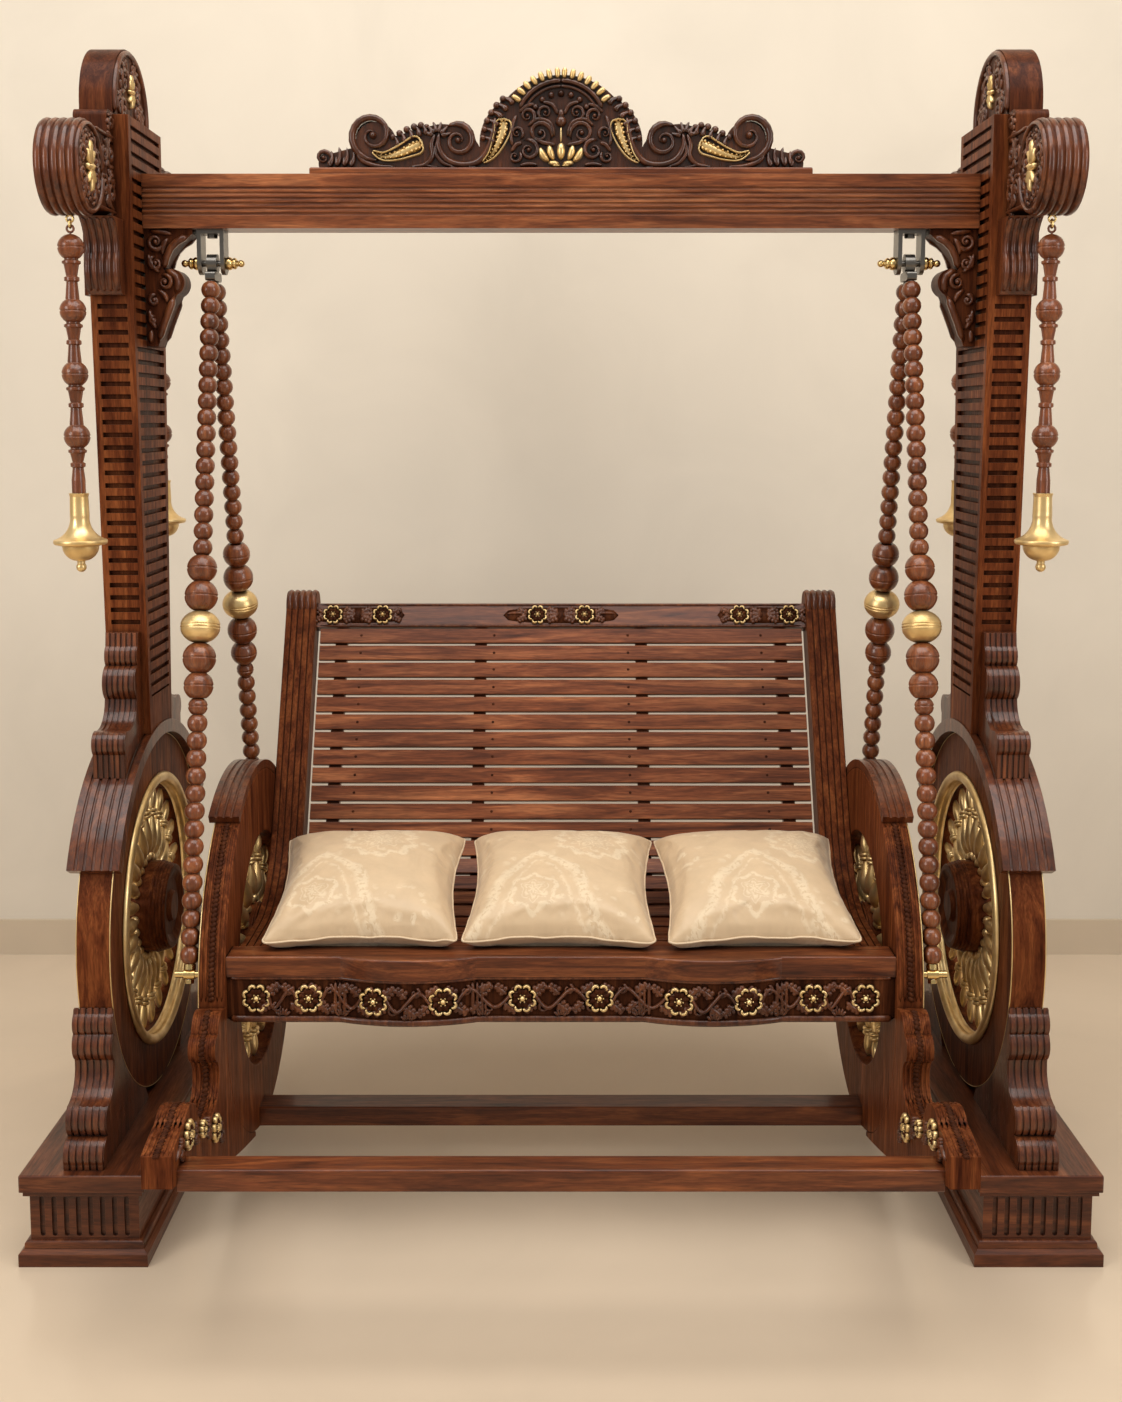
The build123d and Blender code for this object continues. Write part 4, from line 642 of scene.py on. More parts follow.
# ---- Corner brackets
# Scrolled brackets fill the corners under the beam. A plain border is left standing along the sawn
# edge, and scrolls and leaves are carved inside it, in front and behind.
bracket_face = 0.0278
bracket_edge = ([(712, 1850), (724, 1846), (738, 1838), (750, 1826), (758, 1810), (762, 1796), (763, 1786)],
                [(763, 1786), (752, 1782), (741, 1774), (737, 1764), (738, 1750), (743, 1740)],
                [(743, 1740), (750, 1722), (758, 1702), (766, 1682), (773, 1662), (779, 1645)])
bracket_leaves = bmesh.new()
for face in (-1, 1):
    for side in (-1, 1):
        on_bracket = board_face(side, face, bracket_face)
        for line in bracket_edge:
            stroke(bracket_leaves, line, on_bracket, 0.0072, 0.0085, whole)
        for centre, radius, start, turns in (((778, 1838), 17, 180, 1.4), ((779, 1798), 14, 90, -1.4),
                                             ((762, 1762), 15, 60, 1.4), ((783, 1728), 11, 120, -1.3),
                                             ((786, 1690), 8, 120, -1.2)):
            line = curl(centre, radius, start, turns, points=21)
            stroke(bracket_leaves, line, on_bracket, 0.006, 0.0085, fading)
            boss(bracket_leaves, centre, on_bracket, 0.0055, 0.009)
        for start, end, bend in (((752, 1846), (764, 1812), 0.3), ((792, 1818), (770, 1780), 0.3),
                                 ((778, 1748), (758, 1722), -0.3), ((792, 1712), (778, 1672), 0.25),
                                 ((788, 1672), (790, 1646), 0.2), ((745, 1852), (790, 1858), 0.1)):
            stroke(bracket_leaves, bow(start, end, bend), on_bracket, 0.0062, 0.008)
finished("corner_bracket_carving", "stand", bracket_leaves, carved_wood)
dress(head_wood, "wood", "corner_brackets")


# ---- Clevises, pins, knobs and hooks
# The bearings are nickel-plated steel; the pins' turned knobs, the bell hooks and their links are
# polished brass.


def metal(name, colour, rough, scratch):
    """Bare or plated metal with fine turning marks and a slightly uneven polish."""
    made, tree, skin = new_material(name)
    place = put(tree, "ShaderNodeTexCoord").outputs["Object"]
    marks = noise(tree, place, scratch, 3.0)
    tint = mix(tree, noise(tree, place, 34.0), tuple(c * 0.78 for c in colour), colour)
    rubbing_shade_node = put(tree, "ShaderNodeGroup", {"Round": 0.0008, "Depth": 0.01}, node_tree=rubbing_and_shade)
    dull = spread(tree, marks, 0.0, 1.0, rough - 0.06, rough + 0.1)
    surface(tree, skin, tint, dull, marks, rubbing_shade_node, 0.06, 0.0003)
    skin.inputs["Metallic"].default_value = 1.0
    return made


steel = metal("nickel steel", (0.22, 0.205, 0.185), 0.3, 260.0)
brass = metal("polished brass", (0.83, 0.6, 0.26), 0.22, 300.0)
dress(steel, "steel", "clevises", "hanger_bolts", "pivot_pins", "hanger_eyes", "hanger_rods")
dress(brass, "brass", "pin_knobs", "bell_hooks", "rod_fittings")

# ---- Hanging bells
# Each turned and lacquered spindle hangs from a brass link and ends in a gilt bell.
bead_wood = wood("turned bead wood", "z", (0.085, 0.021, 0.0062), (0.2, 0.054, 0.017),
                 (0.33, 0.11, 0.037), gloss=0.4)
for where in ("front_left", "front_right", "rear_left", "rear_right"):
    dress(brass, "brass", f"link_{where}")
    dress(bead_wood, "wood", f"spindle_{where}")
    dress(gilt, "gilt", f"bell_{where}")

# ---- Hangers
# Steel rods run from the bearings to the seat wheels, hidden in turned beads; a gilt ball with a
# double line sits among the larger grooved beads.
dress(bead_wood, "wood", "small_beads", "large_beads")
dress(gilt, "gilt", "gilt_balls")

# ---- Seat wheels
# The bench hangs in two large rims with gilt spokes. Their edges are reeded, with a row of twisted
# rope carving in the middle, and short fenders lie on top.
seat_wheel_z = 0.435
rim_middle = 0.631
rim_edge = 0.3605            # radius on which the rope and the reeds lie


def rope_carving(ropes, reeds, line, spacing=0.0088):
    """Twisted rope along a line of (y, z) points on both sides' edges, between two pairs of fine reeds."""
    way = [Vector((0, swing_line + y, z)) for y, z in line]
    distance = 0
    for here, there in zip(way, way[1:]):
        run = there - here
        along = run.normalized()
        while distance < run.length:
            for side in (-1, 1):
                bead = bmesh.new()
                bmesh.ops.create_uvsphere(bead, u_segments=8, v_segments=6, radius=1)
                turn = Matrix((along.cross(Vector((1, 0, 0))), (1, 0, 0), along)).transposed().to_4x4()
                twist = Matrix.Rotation(radians(38 * side), 4, "X")
                spot = Matrix.Translation(here + along * distance + Vector((side * rim_middle, 0, 0)))
                join(ropes, bead, spot @ turn @ twist @ Matrix.Diagonal((0.0036, 0.0072, 0.0047, 1)))
            distance += spacing
        distance -= run.length
    for side in (-1, 1):
        for offset in (-0.0185, -0.0105, 0.0105, 0.0185):
            def on_edge(u, v):
                near = min(range(len(way) - 1), key=lambda k: abs(k - u))
                out = (way[near + 1] - way[near]).normalized().cross(Vector((1, 0, 0)))
                spot = way[min(int(u), len(way) - 1)] + Vector((side * (rim_middle + offset), 0, 0))
                return spot, out if out.dot(spot - Vector((spot.x, swing_line, seat_wheel_z))) > 0 else -out
            stroke(reeds, [(i, 0) for i in range(len(way))], on_edge, 0.0024, 0.0022, whole)


ropes, reeds = bmesh.new(), bmesh.new()
front_edge = round_line((0, seat_wheel_z), rim_edge, 123, 177, 30)
rear_edge = round_line((0, seat_wheel_z), rim_edge, 57, -73, 60)
arm_edge = (arc_through((-0.366, 0.443), (-0.404, 0.441), (-0.420, 0.418), 7)[2:]
            + arc_through((-0.420, 0.418), (-0.446, 0.400), (-0.430, 0.372), 8)
            + arc_through((-0.430, 0.372), (-0.416, 0.338), (-0.436, 0.306), 8)
            + arc_through((-0.436, 0.306), (-0.520, 0.300), (-0.585, 0.350), 12)[1:]
            + arc_through((-0.585, 0.350), (-0.628, 0.384), (-0.676, 0.372), 9)[1:]
            + arc_through((-0.676, 0.372), (-0.712, 0.368), (-0.760, 0.358), 6)[1:])
for line in (front_edge, rear_edge, arm_edge):
    rope_carving(ropes, reeds, line)
finished("seat_rim_reeds", "swing", reeds, wood_up)
finished("seat_rim_rope", "swing", ropes, dark_wood_and_ground_shade)
# a thin gilt line round each rim's outer edge, which is also a painted highlight along that edge
seat_gold_highlight_lines = bmesh.new()
for side in (-1, 1):
    turned_ring(seat_gold_highlight_lines, round_profile(side, 0.6546, 0.3592, 0.0012, 0.0012, 6),
                Vector((0, swing_line, seat_wheel_z)), 110)
finished("seat_rim_gold_highlight_lines", "swing", seat_gold_highlight_lines, gilt)
dress(gilt, "gilt", "seat_spokes")
dress(wood_up, "wood", "seat_rims", "seat_hubs")
dress(lacquered, "wood", "seat_fenders")

# ---- Foot arms and bars
# Scrolled arms run forward from the seat wheels to the foot rest, tied by two plain bars.
dress(wood_up, "wood", "foot_arms")
dress(wood_along, "wood", "foot_bar", "cross_rails")

# ---- Seat and back
# Slats of the lighter streaky wood are screwed to four bent battens between reeded side stiles with
# scrolled tops. A top rail closes the back.
slat_wood = wood("slat wood", "x", (0.066, 0.0165, 0.006), (0.2, 0.056, 0.0195), (0.4, 0.14, 0.053),
                 hollow_shade=(0.04, 0.012, 0.005), gloss=0.12)
dress(slat_wood, "wood_light", "slats")
dress(slat_wood, "wood", "battens")
dress(wood_up, "wood", "stiles")
scrolls = bmesh.new()
scroll_axle = Vector((0, swing_line + 0.3776, 1.0871))
stile_inner, reed_pitch = 0.541, 0.0132
for side in (-1, 1):
    for reed in range(5):
        reed_x = stile_inner + reed_pitch * (reed + 0.5)
        turned_ring(scrolls, round_profile(side, reed_x, 0.0312, 0.0055, 0.0042), scroll_axle, 48)
finished("stile_scroll_reeds", "swing", scrolls, lacquered)
dress(wood_along, "wood", "top_rail")
# rays from the front find the slats' faces, and a screw sits in the middle of each
screws = bmesh.new()
slats = nodes["slats"]
for x in (-0.44, -0.147, 0.147, 0.44):
    faces = []
    for step in range(300):
        hit, spot, out, _ = slats.ray_cast(Vector((x, -0.8, 0.56 + step * 0.0018)), Vector((0, 1, 0)))
        if not hit or out.z < 0.1:
            continue
        if faces and (spot - faces[-1][-1][0]).length < 0.0075 and out.dot(faces[-1][-1][1]) > 0.995:
            faces[-1].append((spot, out))
        else:
            faces.append([(spot, out)])
    for found in faces:
        if len(found) > 7:
            spot, out = found[len(found) // 2]
            head = bmesh.new()
            bmesh.ops.create_uvsphere(head, u_segments=10, v_segments=6, radius=1)
            turn = out.to_track_quat("Z", "Y").to_matrix().to_4x4()
            join(screws, head, Matrix.Translation(spot) @ turn @ Matrix.Diagonal((0.0031, 0.0031, 0.0011, 1)))
finished("slat_screws", "swing", screws, dark_wood_and_ground_shade)

# ---- Front rail, apron and rosettes
# The bowed rail and the apron under it close the seat's front. A vine with leaves is carved along the
# apron and the top rail, and turned rosettes with a gilt rim and boss are pinned over it.
rail_face = -0.345
bow_inner, bow_outer, bow_depth = 0.152, 0.400, 0.023
bow_half, bow_middle = (bow_outer - bow_inner) / 2, (bow_outer + bow_inner) / 2
bow_radius = (bow_half ** 2 + bow_depth ** 2) / (2 * bow_depth)


def on_apron(u, v):
    """A point on the apron's bowed face and the way it faces."""
    y = rail_face + 0.006
    out = Vector((0, -1, 0))
    from_bow = abs(u) - bow_middle
    if abs(from_bow) < bow_half:
        y -= sqrt(bow_radius ** 2 - from_bow ** 2) - (bow_radius - bow_depth)
        out = Vector((from_bow / bow_radius * (1 if u > 0 else -1), -1, 0)).normalized()
    return Vector((u, swing_line + y, v)), out


lean = radians(27)


def on_top_rail(u, v):
    """A point on the leaning top rail's face: v runs up the slope from its middle."""
    middle = Vector((0, swing_line + 0.366 - 0.028 * sin(lean), 1.093 - 0.028 * cos(lean)))
    return middle + Vector((u, v * sin(lean), v * cos(lean))), Vector((0, -cos(lean), sin(lean)))


apron_leaves = bmesh.new()
apron_z = 0.455
apron_flowers = (-0.553, -0.458, -0.338, -0.214, -0.07, 0.07, 0.214, 0.338, 0.458, 0.553)
for edge, breadth in ((0.4925, 0.0042), (0.4155, 0.0068)):
    line = [(-0.606 + 1.212 * i / 120, edge) for i in range(121)]
    stroke(apron_leaves, line, on_apron, breadth, 0.0062, whole)
for u in (-0.4, -0.152, 0.152, 0.4):
    for offset in (-0.009, 0, 0.009):
        stroke(apron_leaves, bow((u + offset, 0.42), (u + offset, 0.489), 0, 9), on_apron, 0.0042, 0.0072, even)


def leaf(shape, place, root, heading, length, hand):
    """Lobed leaf: a bent midrib with three rounded lobes on each side."""
    a = radians(heading)
    stroke(shape, bow(root, polar(root, length, a), 0.12 * hand, 9), place, length * 0.19, 0.008)
    for t, splay in ((0.28, 62), (0.52, 50), (0.74, 38)):
        start = polar(root, length * t, a)
        for way in (-1, 1):
            end = polar(start, length * (0.42 - 0.2 * t), a + radians(splay * way))
            stroke(shape, bow(start, end, 0.2 * way, 6), place, length * 0.17, 0.007)


for i, (a, b) in enumerate(zip(apron_flowers, apron_flowers[1:])):
    hand = 1 if i % 2 else -1
    gap = b - a
    vine = smooth_line([(a + 0.02, apron_z - 0.01 * hand), (a + gap * 0.34, apron_z + 0.019 * hand),
                        (a + gap * 0.64, apron_z - 0.017 * hand), (b - 0.02, apron_z + 0.008 * hand)], 23)
    stroke(apron_leaves, vine, on_apron, 0.0042, 0.0085, lambda t: 0.9)
    count = 3 if gap > 0.11 else 2
    for k in range(count):
        t = (k + 0.62) / (count + 0.2)
        up = hand * (1 if k % 2 else -1)
        leaf(apron_leaves, on_apron, (a + gap * t - 0.01, apron_z + 0.006 * up), 38 * up, 0.035, up)
        leaf(apron_leaves, on_apron, (a + gap * t, apron_z - 0.006 * up), -140 * up, 0.032, -up)
        volute = curl((a + gap * t + 0.012, apron_z - 0.017 * up), 0.0105, 90, 1.1 * up, points=12)
        stroke(apron_leaves, volute, on_apron, 0.0042, 0.0075, fading)
    fan = ((a + b) / 2, 0.421)
    for heading in (35, 63, 90, 117, 145):
        root = (fan[0] + 0.004 * cos(radians(heading)), fan[1])
        stroke(apron_leaves, bow(root, polar(fan, 0.017, radians(heading)), 0, 6), on_apron, 0.0034, 0.0065)
finished("apron_vine", "swing", apron_leaves, carved_wood)

rail_leaves, rail_shade_ground = bmesh.new(), bmesh.new()
rail_flowers = (-0.505, -0.395, -0.052, 0.052, 0.395, 0.505)
for edge in (0.0245, -0.0245):
    line = [(-0.535 + 1.07 * i / 40, edge) for i in range(41)]
    stroke(rail_leaves, line, on_top_rail, 0.003, 0.0036, whole)
for middle in (-0.45, 0, 0.45):
    reach = 0.104 if middle else 0.128
    # a thin dark sheet behind the leaves: painted shade for the carved ground
    stroke(rail_shade_ground, bow((middle - reach, 0), (middle + reach, 0), 0, 25), on_top_rail, 0.0215, 0.0012,
           lambda t: sin(pi * t) ** 0.25)
    for side in (-1, 1):
        for heading, far, length in ((30, 0.004, 0.032), (-30, 0.004, 0.032), (0, 0.002, 0.034),
                                     (32, 0.073, 0.028), (-32, 0.073, 0.028)):
            leaf(rail_leaves, on_top_rail, (middle + side * far, 0), heading if side > 0 else 180 - heading,
                 length, side)
        if not middle:
            line = bow((side * 0.074, 0), (side * 0.122, 0.002), 0.15 * side, 11)
            stroke(rail_leaves, line, on_top_rail, 0.004, 0.0065)
finished("top_rail_painted_shade_ground", "swing", rail_shade_ground, dark_wood_and_ground_shade)
finished("top_rail_leaves", "swing", rail_leaves, carved_wood)

flower_gold, flower_wood = bmesh.new(), bmesh.new()


def rosette(spot, place, radius):
    """Scalloped gilt rim over dark petals, with a gilt boss in the middle."""
    def near(u, v):
        there, way = place(spot[0] + u, spot[1] + v)
        return there + way * 0.0035, way

    for i in range(8):
        a = 2 * pi * (i + 0.5) / 8
        petal = polar((0, 0), radius * 0.8, a)
        lobe = [polar(petal, radius * 0.235, a + radians(18 * j - 108)) for j in range(13)]
        stroke(flower_gold, lobe, near, radius * 0.14, 0.0055, even)
        root, tip = (polar((0, 0), radius * far, a) for far in (0.26, 0.86))
        stroke(flower_wood, bow(root, tip, 0, 7), near, radius * 0.21, 0.0052)
    boss(flower_wood, (0, 0), near, radius * 0.8, 0.003)
    boss(flower_gold, (0, 0), near, radius * 0.25, 0.0085)
    for i in range(6):
        boss(flower_gold, polar((0, 0), radius * 0.3, 2 * pi * i / 6), near, radius * 0.09, 0.006)


for u in apron_flowers:
    rosette((u, apron_z), on_apron, 0.0235)
for u in rail_flowers:
    rosette((u, 0), on_top_rail, 0.0195)
arm_face = 0.6068
arm_leaves = bmesh.new()
for side in (-1, 1):
    on_arm = side_face(side, arm_face)
    for u, v, radius in ((-0.66, 0.347, 0.0215), (-0.565, 0.312, 0.013), (-0.468, 0.268, 0.0215)):
        rosette((u, v), on_arm, radius)
    for start, end, bend in (((-0.64, 0.335), (-0.58, 0.316), 0.3), ((-0.552, 0.306), (-0.488, 0.279), -0.3),
                             ((-0.45, 0.26), (-0.4, 0.22), 0.2), ((-0.68, 0.35), (-0.735, 0.338), -0.2)):
        stroke(arm_leaves, bow(start, end, bend, 11), on_arm, 0.0042, 0.006)
        middle = ((start[0] + end[0]) / 2, (start[1] + end[1]) / 2)
        leaf(arm_leaves, on_arm, middle, -70, 0.024, side)
        leaf(arm_leaves, on_arm, middle, 80, 0.02, -side)
finished("arm_leaf_carving", "swing", arm_leaves, carved_wood)
gilt_flowers = finished("rosette_gilding", "swing", flower_gold, gilt)
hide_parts("rosettes")
finished("rosette_petals", "swing", flower_wood, dark_wood_and_ground_shade)
dress(wood_along, "wood", "front_rail")
# the apron's dark ground behind the vine is painted shade for the carved ground
dress(dark_wood_and_ground_shade, "wood", "apron")

# ---- Cushions
# Three square cushions in champagne damask lean on the slats, with their front seams on the rail. Each
# is two squares of cloth sewn with a thin piping, stuffed soft, so its sides pull in between corners.
cushion_pitch = 0.370
cushion_half = 0.186
seam_front = Vector((0, swing_line - 0.328, 0.549))
seam_rear = Vector((0, swing_line + 0.030, 0.652))
slope = (seam_rear - seam_front).normalized()
upward = Vector((1, 0, 0)).cross(slope)
rail_top, slat_top, bend_radius = 0.5345, 0.496, 0.25


def lowest(y):
    """Height of what lies under a cushion: the front rail, the flat slats and the bend behind them."""
    run = y - swing_line
    if run < -0.281:
        return rail_top
    if run < -0.262:
        return rail_top - (run + 0.281) / 0.019 * (rail_top - slat_top)
    if run < -0.092:
        return slat_top
    return slat_top + 0.2505 - sqrt(max(0.0, bend_radius ** 2 - (run + 0.092) ** 2))


def damask():
    """Champagne satin with a woven pattern, a shade lighter than its ground: wreaths, arches and sprigs."""
    made, tree, skin = new_material("champagne damask")
    place = put(tree, "ShaderNodeUVMap", uv_map="cloth").outputs[0]
    wander = put(tree, "ShaderNodeTexNoise", {"Vector": place, "Scale": 9.0, "Detail": 3.0})
    drift = put(tree, "ShaderNodeVectorMath", {0: wander.outputs["Color"], 1: (0.075, 0.075, 0.0)},
                operation="MULTIPLY").outputs[0]
    laid = put(tree, "ShaderNodeVectorMath", {0: place, 1: drift}, operation="ADD").outputs[0]

    def math(kind, a, b=0.0, c=0.0):
        return put(tree, "ShaderNodeMath", {0: a, 1: b, 2: c}, operation=kind).outputs[0]

    def most(first, *others):
        for other in others:
            first = math("MAXIMUM", first, other)
        return first

    def band(value, low, high, soft=0.012):
        """1 between two values, with soft edges."""
        return math("MULTIPLY", spread(tree, value, low - soft, low + soft),
                    spread(tree, value, high + soft, high - soft))

    def wreath(u, v, petals, radius):
        """Scalloped ring of flowers round a blossom."""
        offset = put(tree, "ShaderNodeVectorMath", {0: laid, 1: (u, v, 0)}, operation="SUBTRACT").outputs[0]
        split = put(tree, "ShaderNodeSeparateXYZ", {0: offset}).outputs
        length = put(tree, "ShaderNodeVectorMath", {0: offset}, operation="LENGTH").outputs["Value"]
        angle = math("ARCTAN2", split[1], split[0])
        wave = math("MULTIPLY", math("COSINE", math("MULTIPLY", angle, petals)), 0.09)
        lobed = math("ADD", math("DIVIDE", length, radius), wave)
        return most(band(lobed, 0.8, 1.0, 0.04), band(lobed, 0.5, 0.56, 0.03), band(lobed, -1.0, 0.16, 0.04),
                    band(lobed, 0.25, 0.38, 0.04))

    across, up, _ = put(tree, "ShaderNodeSeparateXYZ", {0: laid}).outputs
    sway = math("MULTIPLY", math("SINE", math("MULTIPLY", up, 11.0)), 0.045)
    aside = math("ABSOLUTE", math("ADD", across, -0.43))
    arch = math("ADD", math("ADD", aside, sway), math("MULTIPLY", up, 0.75))
    beds, sprig_beds = (put(tree, "ShaderNodeTexVoronoi", {"Vector": laid, "Scale": scale,
                                                           "Randomness": chance}).outputs["Distance"]
                        for scale, chance in ((17.0, 0.8), (3.8, 0.9)))
    sprigs = math("MULTIPLY", band(beds, -1.0, 0.34, 0.08), band(sprig_beds, -1.0, 0.43, 0.12))
    bold = most(wreath(0.7, 0.73, 11.0, 0.19), wreath(0.4, 0.27, 6.0, 0.12), band(arch, 0.41, 0.47, 0.012),
                band(arch, 0.35, 0.365, 0.01))
    lace = spread(tree, noise(tree, laid, 44.0, 2.0, 0.6), 0.38, 0.5)
    motif = math("MULTIPLY", most(bold, sprigs), lace)
    shade = spread(tree, wander.outputs["Fac"], 0.3, 0.7, 0.93, 1.05)
    cloth = mix(tree, motif, (0.61, 0.445, 0.275), (0.71, 0.56, 0.375))
    tree.links.new(mix(tree, 1.0, cloth, shade, "MULTIPLY"), skin.inputs["Base Color"])
    tree.links.new(spread(tree, motif, 0.0, 1.0, 0.42, 0.58), skin.inputs["Roughness"])
    weave = math("MULTIPLY", noise(tree, place, 420.0, 1.0), 0.3)
    crease = math("MULTIPLY", noise(tree, place, 5.0, 2.0, distortion=1.4), 7.0)
    raised = math("ADD", math("ADD", weave, math("MULTIPLY", motif, 0.6)), crease)
    bump = put(tree, "ShaderNodeBump", {"Height": raised, "Strength": 0.4, "Distance": 0.0011})
    tree.links.new(bump.outputs[0], skin.inputs["Normal"])
    skin.inputs["Sheen Weight"].default_value = 0.2
    skin.inputs["Sheen Roughness"].default_value = 0.4
    return made


cushion_cloth = damask()
piping_cloth, cord_tree, cord_skin = new_material("satin piping")
twist = noise(cord_tree, put(cord_tree, "ShaderNodeTexCoord").outputs["Object"], 330.0)
satin = mix(cord_tree, twist, (0.58, 0.42, 0.26), (0.74, 0.59, 0.41))
cord_tree.links.new(satin, cord_skin.inputs["Base Color"])
cord_skin.inputs["Roughness"].default_value = 0.5


def outline(u, v, half):
    """A point of the flat cover: square, with sides that pull in between pointed corners."""
    return half * u * (1 - 0.085 * (1 - v * v) ** 1.6), half * v * (1 - 0.085 * (1 - u * u) ** 1.6)


def folds(u, v):
    """Height of the soft creases that run in from the corners and the middle of each side."""
    total = 0
    for corner_u in (-1, 1):
        for corner_v in (-1, 1):
            du, dv = u - corner_u, v - corner_v
            far = sqrt(du * du + dv * dv)
            total += 0.0022 * cos(9 * atan2(dv, du) + corner_u) * far * max(0, 1 - far / 0.95) ** 1.2 * 3.2
    total += 0.0011 * sin(7.5 * u + 3.1 * v) * (1 - u * u) * (1 - v * v)
    return total


last_frame = 20
most_moved = 0.008           # how far the stuffing may push the cover
cloth_voxel = 0.006
for number, name in ((-1, "left"), (0, "middle"), (1, "right")):
    swirl = radians((0.8, -1.2, 1.4)[number + 1])
    origin = (seam_front + seam_rear) / 2 + Vector((number * cushion_pitch, 0, 0))

    def lay(u, v, height):
        """A point of the cover, turned, laid on the slope and kept above what lies under it."""
        flat_u, flat_v = outline(u, v, cushion_half)
        turned_u = flat_u * cos(swirl) - flat_v * sin(swirl)
        turned_v = flat_u * sin(swirl) + flat_v * cos(swirl)
        spot = origin + Vector((turned_u, 0, 0)) + slope * turned_v + upward * height
        spot.z = max(spot.z, lowest(spot.y) + 0.002)
        return spot

    cover = bmesh.new()
    for layer in (1, -1):
        grid = bmesh.ops.create_grid(cover, x_segments=32, y_segments=32, size=1)["verts"]
        for vertex in grid:
            u, v = vertex.co.x, vertex.co.y
            crown = (max(0, (1 - u * u) * (1 - v * v))) ** 0.46 * (0.066 if layer > 0 else 0.07)
            vertex.co = lay(u, v, (crown + folds(u + 0.2 * number, v) * min(1, crown / 0.02)) * layer)
    bmesh.ops.remove_doubles(cover, verts=cover.verts, dist=0.0005)
    pad = finished(f"cushion_{name}_cover", "swing", cover, cushion_cloth)
    remesh = pad.modifiers.new("even mesh", "REMESH")
    remesh.mode = "VOXEL"
    remesh.voxel_size = cloth_voxel
    bpy.context.view_layer.objects.active = pad
    bpy.ops.object.modifier_apply(modifier=remesh.name)
    before = [v.co.copy() for v in pad.data.vertices]
    cloth = pad.modifiers.new("cloth", "CLOTH")
    cloth.settings.use_pressure = True
    cloth.settings.uniform_pressure_force = 4.0
    cloth.settings.effector_weights.gravity = 0.0
    cloth.settings.quality = 4
    cloth.point_cache.frame_start = 1
    cloth.point_cache.frame_end = last_frame
    for step in range(1, last_frame + 1):
        bpy.context.scene.frame_set(step)
    bpy.ops.object.modifier_apply(modifier=cloth.name)
    bpy.context.scene.frame_set(1)
    for vertex, start in zip(pad.data.vertices, before):
        moved = vertex.co - start
        if moved.length > most_moved:
            moved *= most_moved / moved.length
        vertex.co = start + moved
        vertex.co.z = max(vertex.co.z, lowest(vertex.co.y) + 0.0012)
    cloth_map = pad.data.uv_layers.new(name="cloth")
    for loop in pad.data.loops:
        there = pad.data.vertices[loop.vertex_index].co - origin
        cloth_map.data[loop.index].uv = (there.x / cushion_pitch + 0.5 - 0.11 * number,
                                         there.dot(slope) / cushion_pitch + 0.5)
    for polygon in pad.data.polygons:
        polygon.use_smooth = True
    rounder = pad.modifiers.new("fine cloth", "SUBSURF")
    rounder.levels = rounder.render_levels = 1
    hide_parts(f"cushion_{name}")
    # the piping is sewn into the seam, so it follows the stuffed cover's edge
    tree = kdtree.KDTree(len(pad.data.vertices))
    for index, vertex in enumerate(pad.data.vertices):
        tree.insert(vertex.co, index)
    tree.balance()
    seam = []
    for side in range(4):
        for i in range(24):
            t = i / 12 - 1
            seam.append(tree.find(lay(*((t, -1), (1, t), (-t, 1), (-1, -t))[side], 0))[0])
    cord = bpy.data.curves.new(f"cushion_{name}_piping", "CURVE")
    cord.dimensions = "3D"
    cord.bevel_depth = 0.0021
    cord.bevel_resolution = 2
    line = cord.splines.new("NURBS")
    line.points.add(len(seam) - 1)
    for point, spot in zip(line.points, seam):
        point.co = (*spot, 1)
    line.use_cyclic_u = True
    line.order_u = 4
    line.resolution_u = 3
    piping = placed(cord.name, cord)
    piping.data.materials.append(piping_cloth)
    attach(piping, "swing")

# ---- Floor, wall, light and camera
# A pale polished floor and a plain wall with a low skirting, lit by large soft lamps.


def plain(name, colour, rough, one_sided=False):
    """Matt or polished surface of one colour with a faint cloud; a one-sided one is clear from behind."""
    made, tree, skin = new_material(name)
    cloud = noise(tree, put(tree, "ShaderNodeTexCoord").outputs["Object"], 2.4, 5.0, distortion=0.8)
    tint = mix(tree, cloud, tuple(c * 0.9 for c in colour), tuple(min(1, c * 1.08) for c in colour))
    tree.links.new(tint, skin.inputs["Base Color"])
    skin.inputs["Roughness"].default_value = rough
    if one_sided:
        seen = tree.nodes.new("ShaderNodeNewGeometry").outputs["Backfacing"]
        clear = tree.nodes.new("ShaderNodeBsdfTransparent").outputs[0]
        sides = put(tree, "ShaderNodeMixShader", {0: seen, 1: skin.outputs[0], 2: clear})
        tree.links.new(sides.outputs[0], tree.nodes["Material Output"].inputs["Surface"])
    return made


def staged(name, shape, material):
    """A piece of the room, which isn't part of the swing."""
    new_piece(name, shape, material)


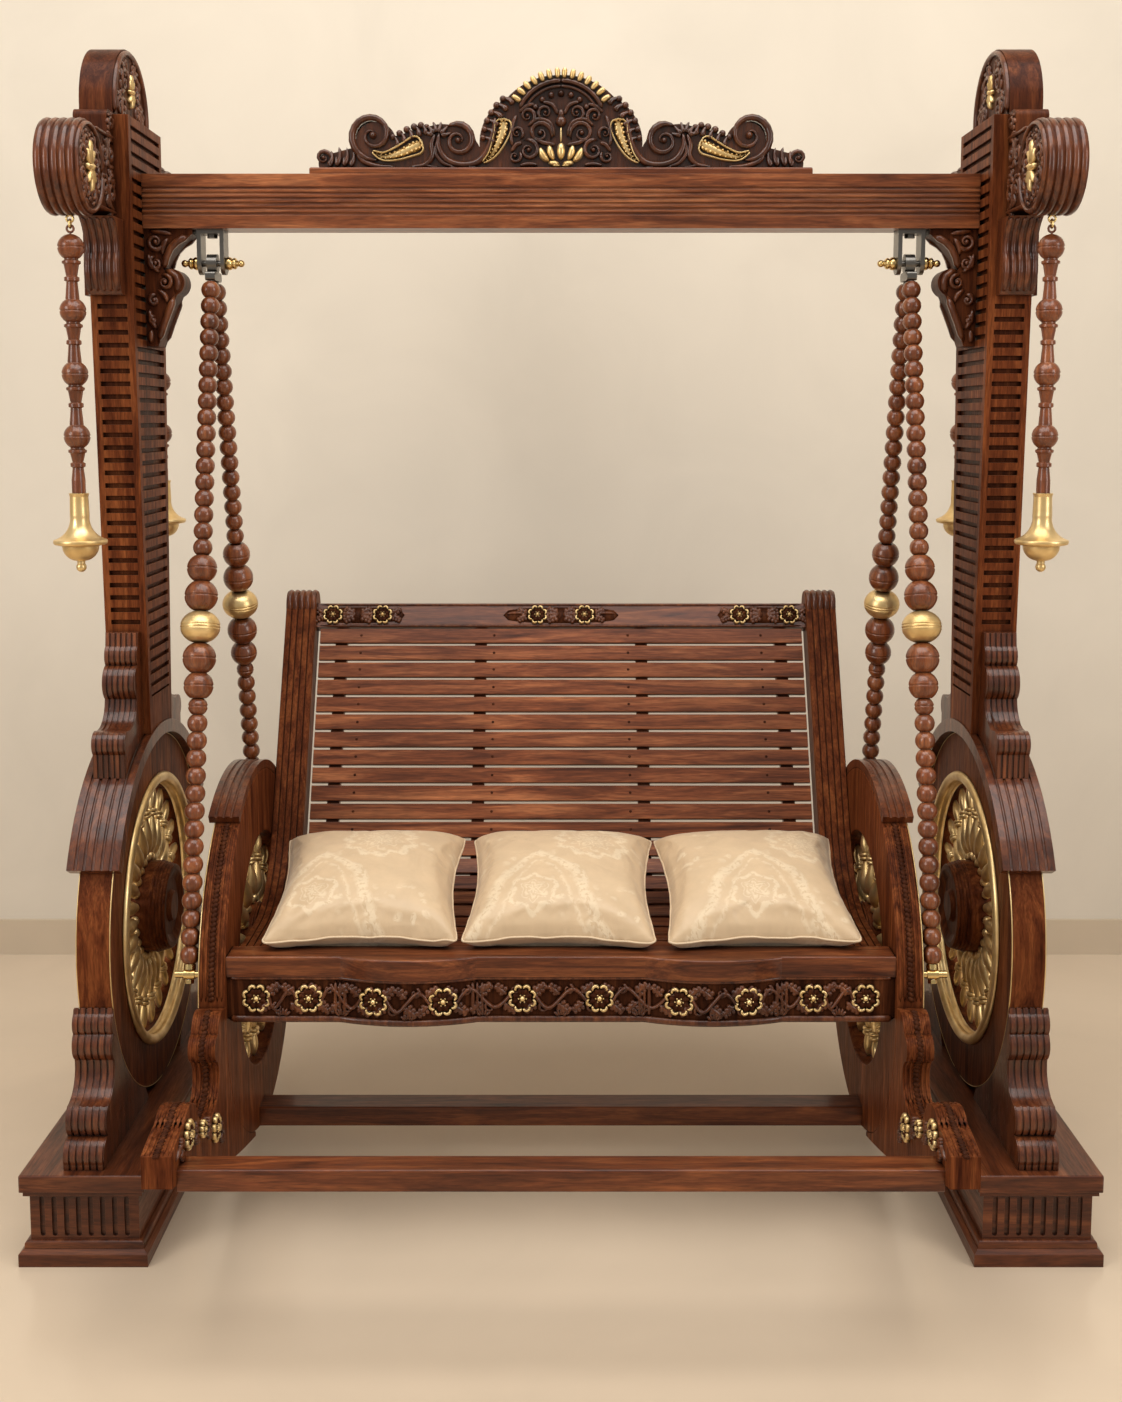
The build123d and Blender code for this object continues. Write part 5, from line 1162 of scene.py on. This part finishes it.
room_half = 7
wall_y = 1.35
upright = Matrix.Rotation(radians(90), 4, "X")
floor = bmesh.new()
bmesh.ops.create_grid(floor, x_segments=1, y_segments=1, size=room_half)
staged("floor", floor, plain("polished floor", (0.69, 0.555, 0.41), 0.2))
wall = bmesh.new()
bmesh.ops.create_grid(wall, x_segments=1, y_segments=1, size=room_half,
                      matrix=Matrix.Translation((0, wall_y, room_half)) @ upright)
staged("wall", wall, plain("painted wall", (0.725, 0.65, 0.54), 0.85, one_sided=True))
skirting = bmesh.new()
for matrix in (Matrix.Translation((0, wall_y - 0.012, 0.05)) @ upright @ Matrix.Diagonal((14, 0.1, 1, 1)),
               Matrix.Translation((0, wall_y - 0.006, 0.1)) @ Matrix.Diagonal((14, 0.012, 1, 1))):
    bmesh.ops.create_grid(skirting, x_segments=1, y_segments=1, size=0.5, matrix=matrix)
staged("skirting", skirting, plain("stone skirting", (0.6, 0.49, 0.36), 0.3, one_sided=True))


def lamp(name, place, aim, size, power, colour):
    """A large soft lamp."""
    light = bpy.data.lights.new(name, "AREA")
    light.shape = "RECTANGLE"
    light.size, light.size_y = size
    light.energy = power
    light.color = colour
    made = placed(name, light)
    made.location = place
    made.rotation_euler = (Vector(aim) - Vector(place)).to_track_quat("-Z", "Y").to_euler()


lamp("ceiling lamp", (0, -1.0, 4.2), (0, 0.1, 0), (4.0, 2.6), 120, (1.0, 0.975, 0.94))
lamp("left window", (-3.6, -3.0, 2.6), (0, 0, 1.0), (1.6, 2.6), 78, (1.0, 0.97, 0.93))
lamp("right window", (3.6, -2.8, 2.4), (0, 0, 1.0), (1.4, 2.6), 62, (1.0, 0.97, 0.93))
world = bpy.data.worlds.new("room")
bpy.context.scene.world = world
world.use_nodes = True
world.node_tree.nodes["Background"].inputs["Color"].default_value = (0.88, 0.84, 0.78, 1)
world.node_tree.nodes["Background"].inputs["Strength"].default_value = 0.42
bpy.context.scene.view_settings.view_transform = "Standard"

lens = bpy.data.cameras.new("front")
camera = placed("front", lens)
camera.location = (0, swing_line - 3.081, 1.5)
camera.rotation_euler = (radians(83.75), 0, 0)
lens.sensor_width = 36
lens.lens = 40.1
lens.shift_y = -0.079
bpy.context.scene.camera = camera
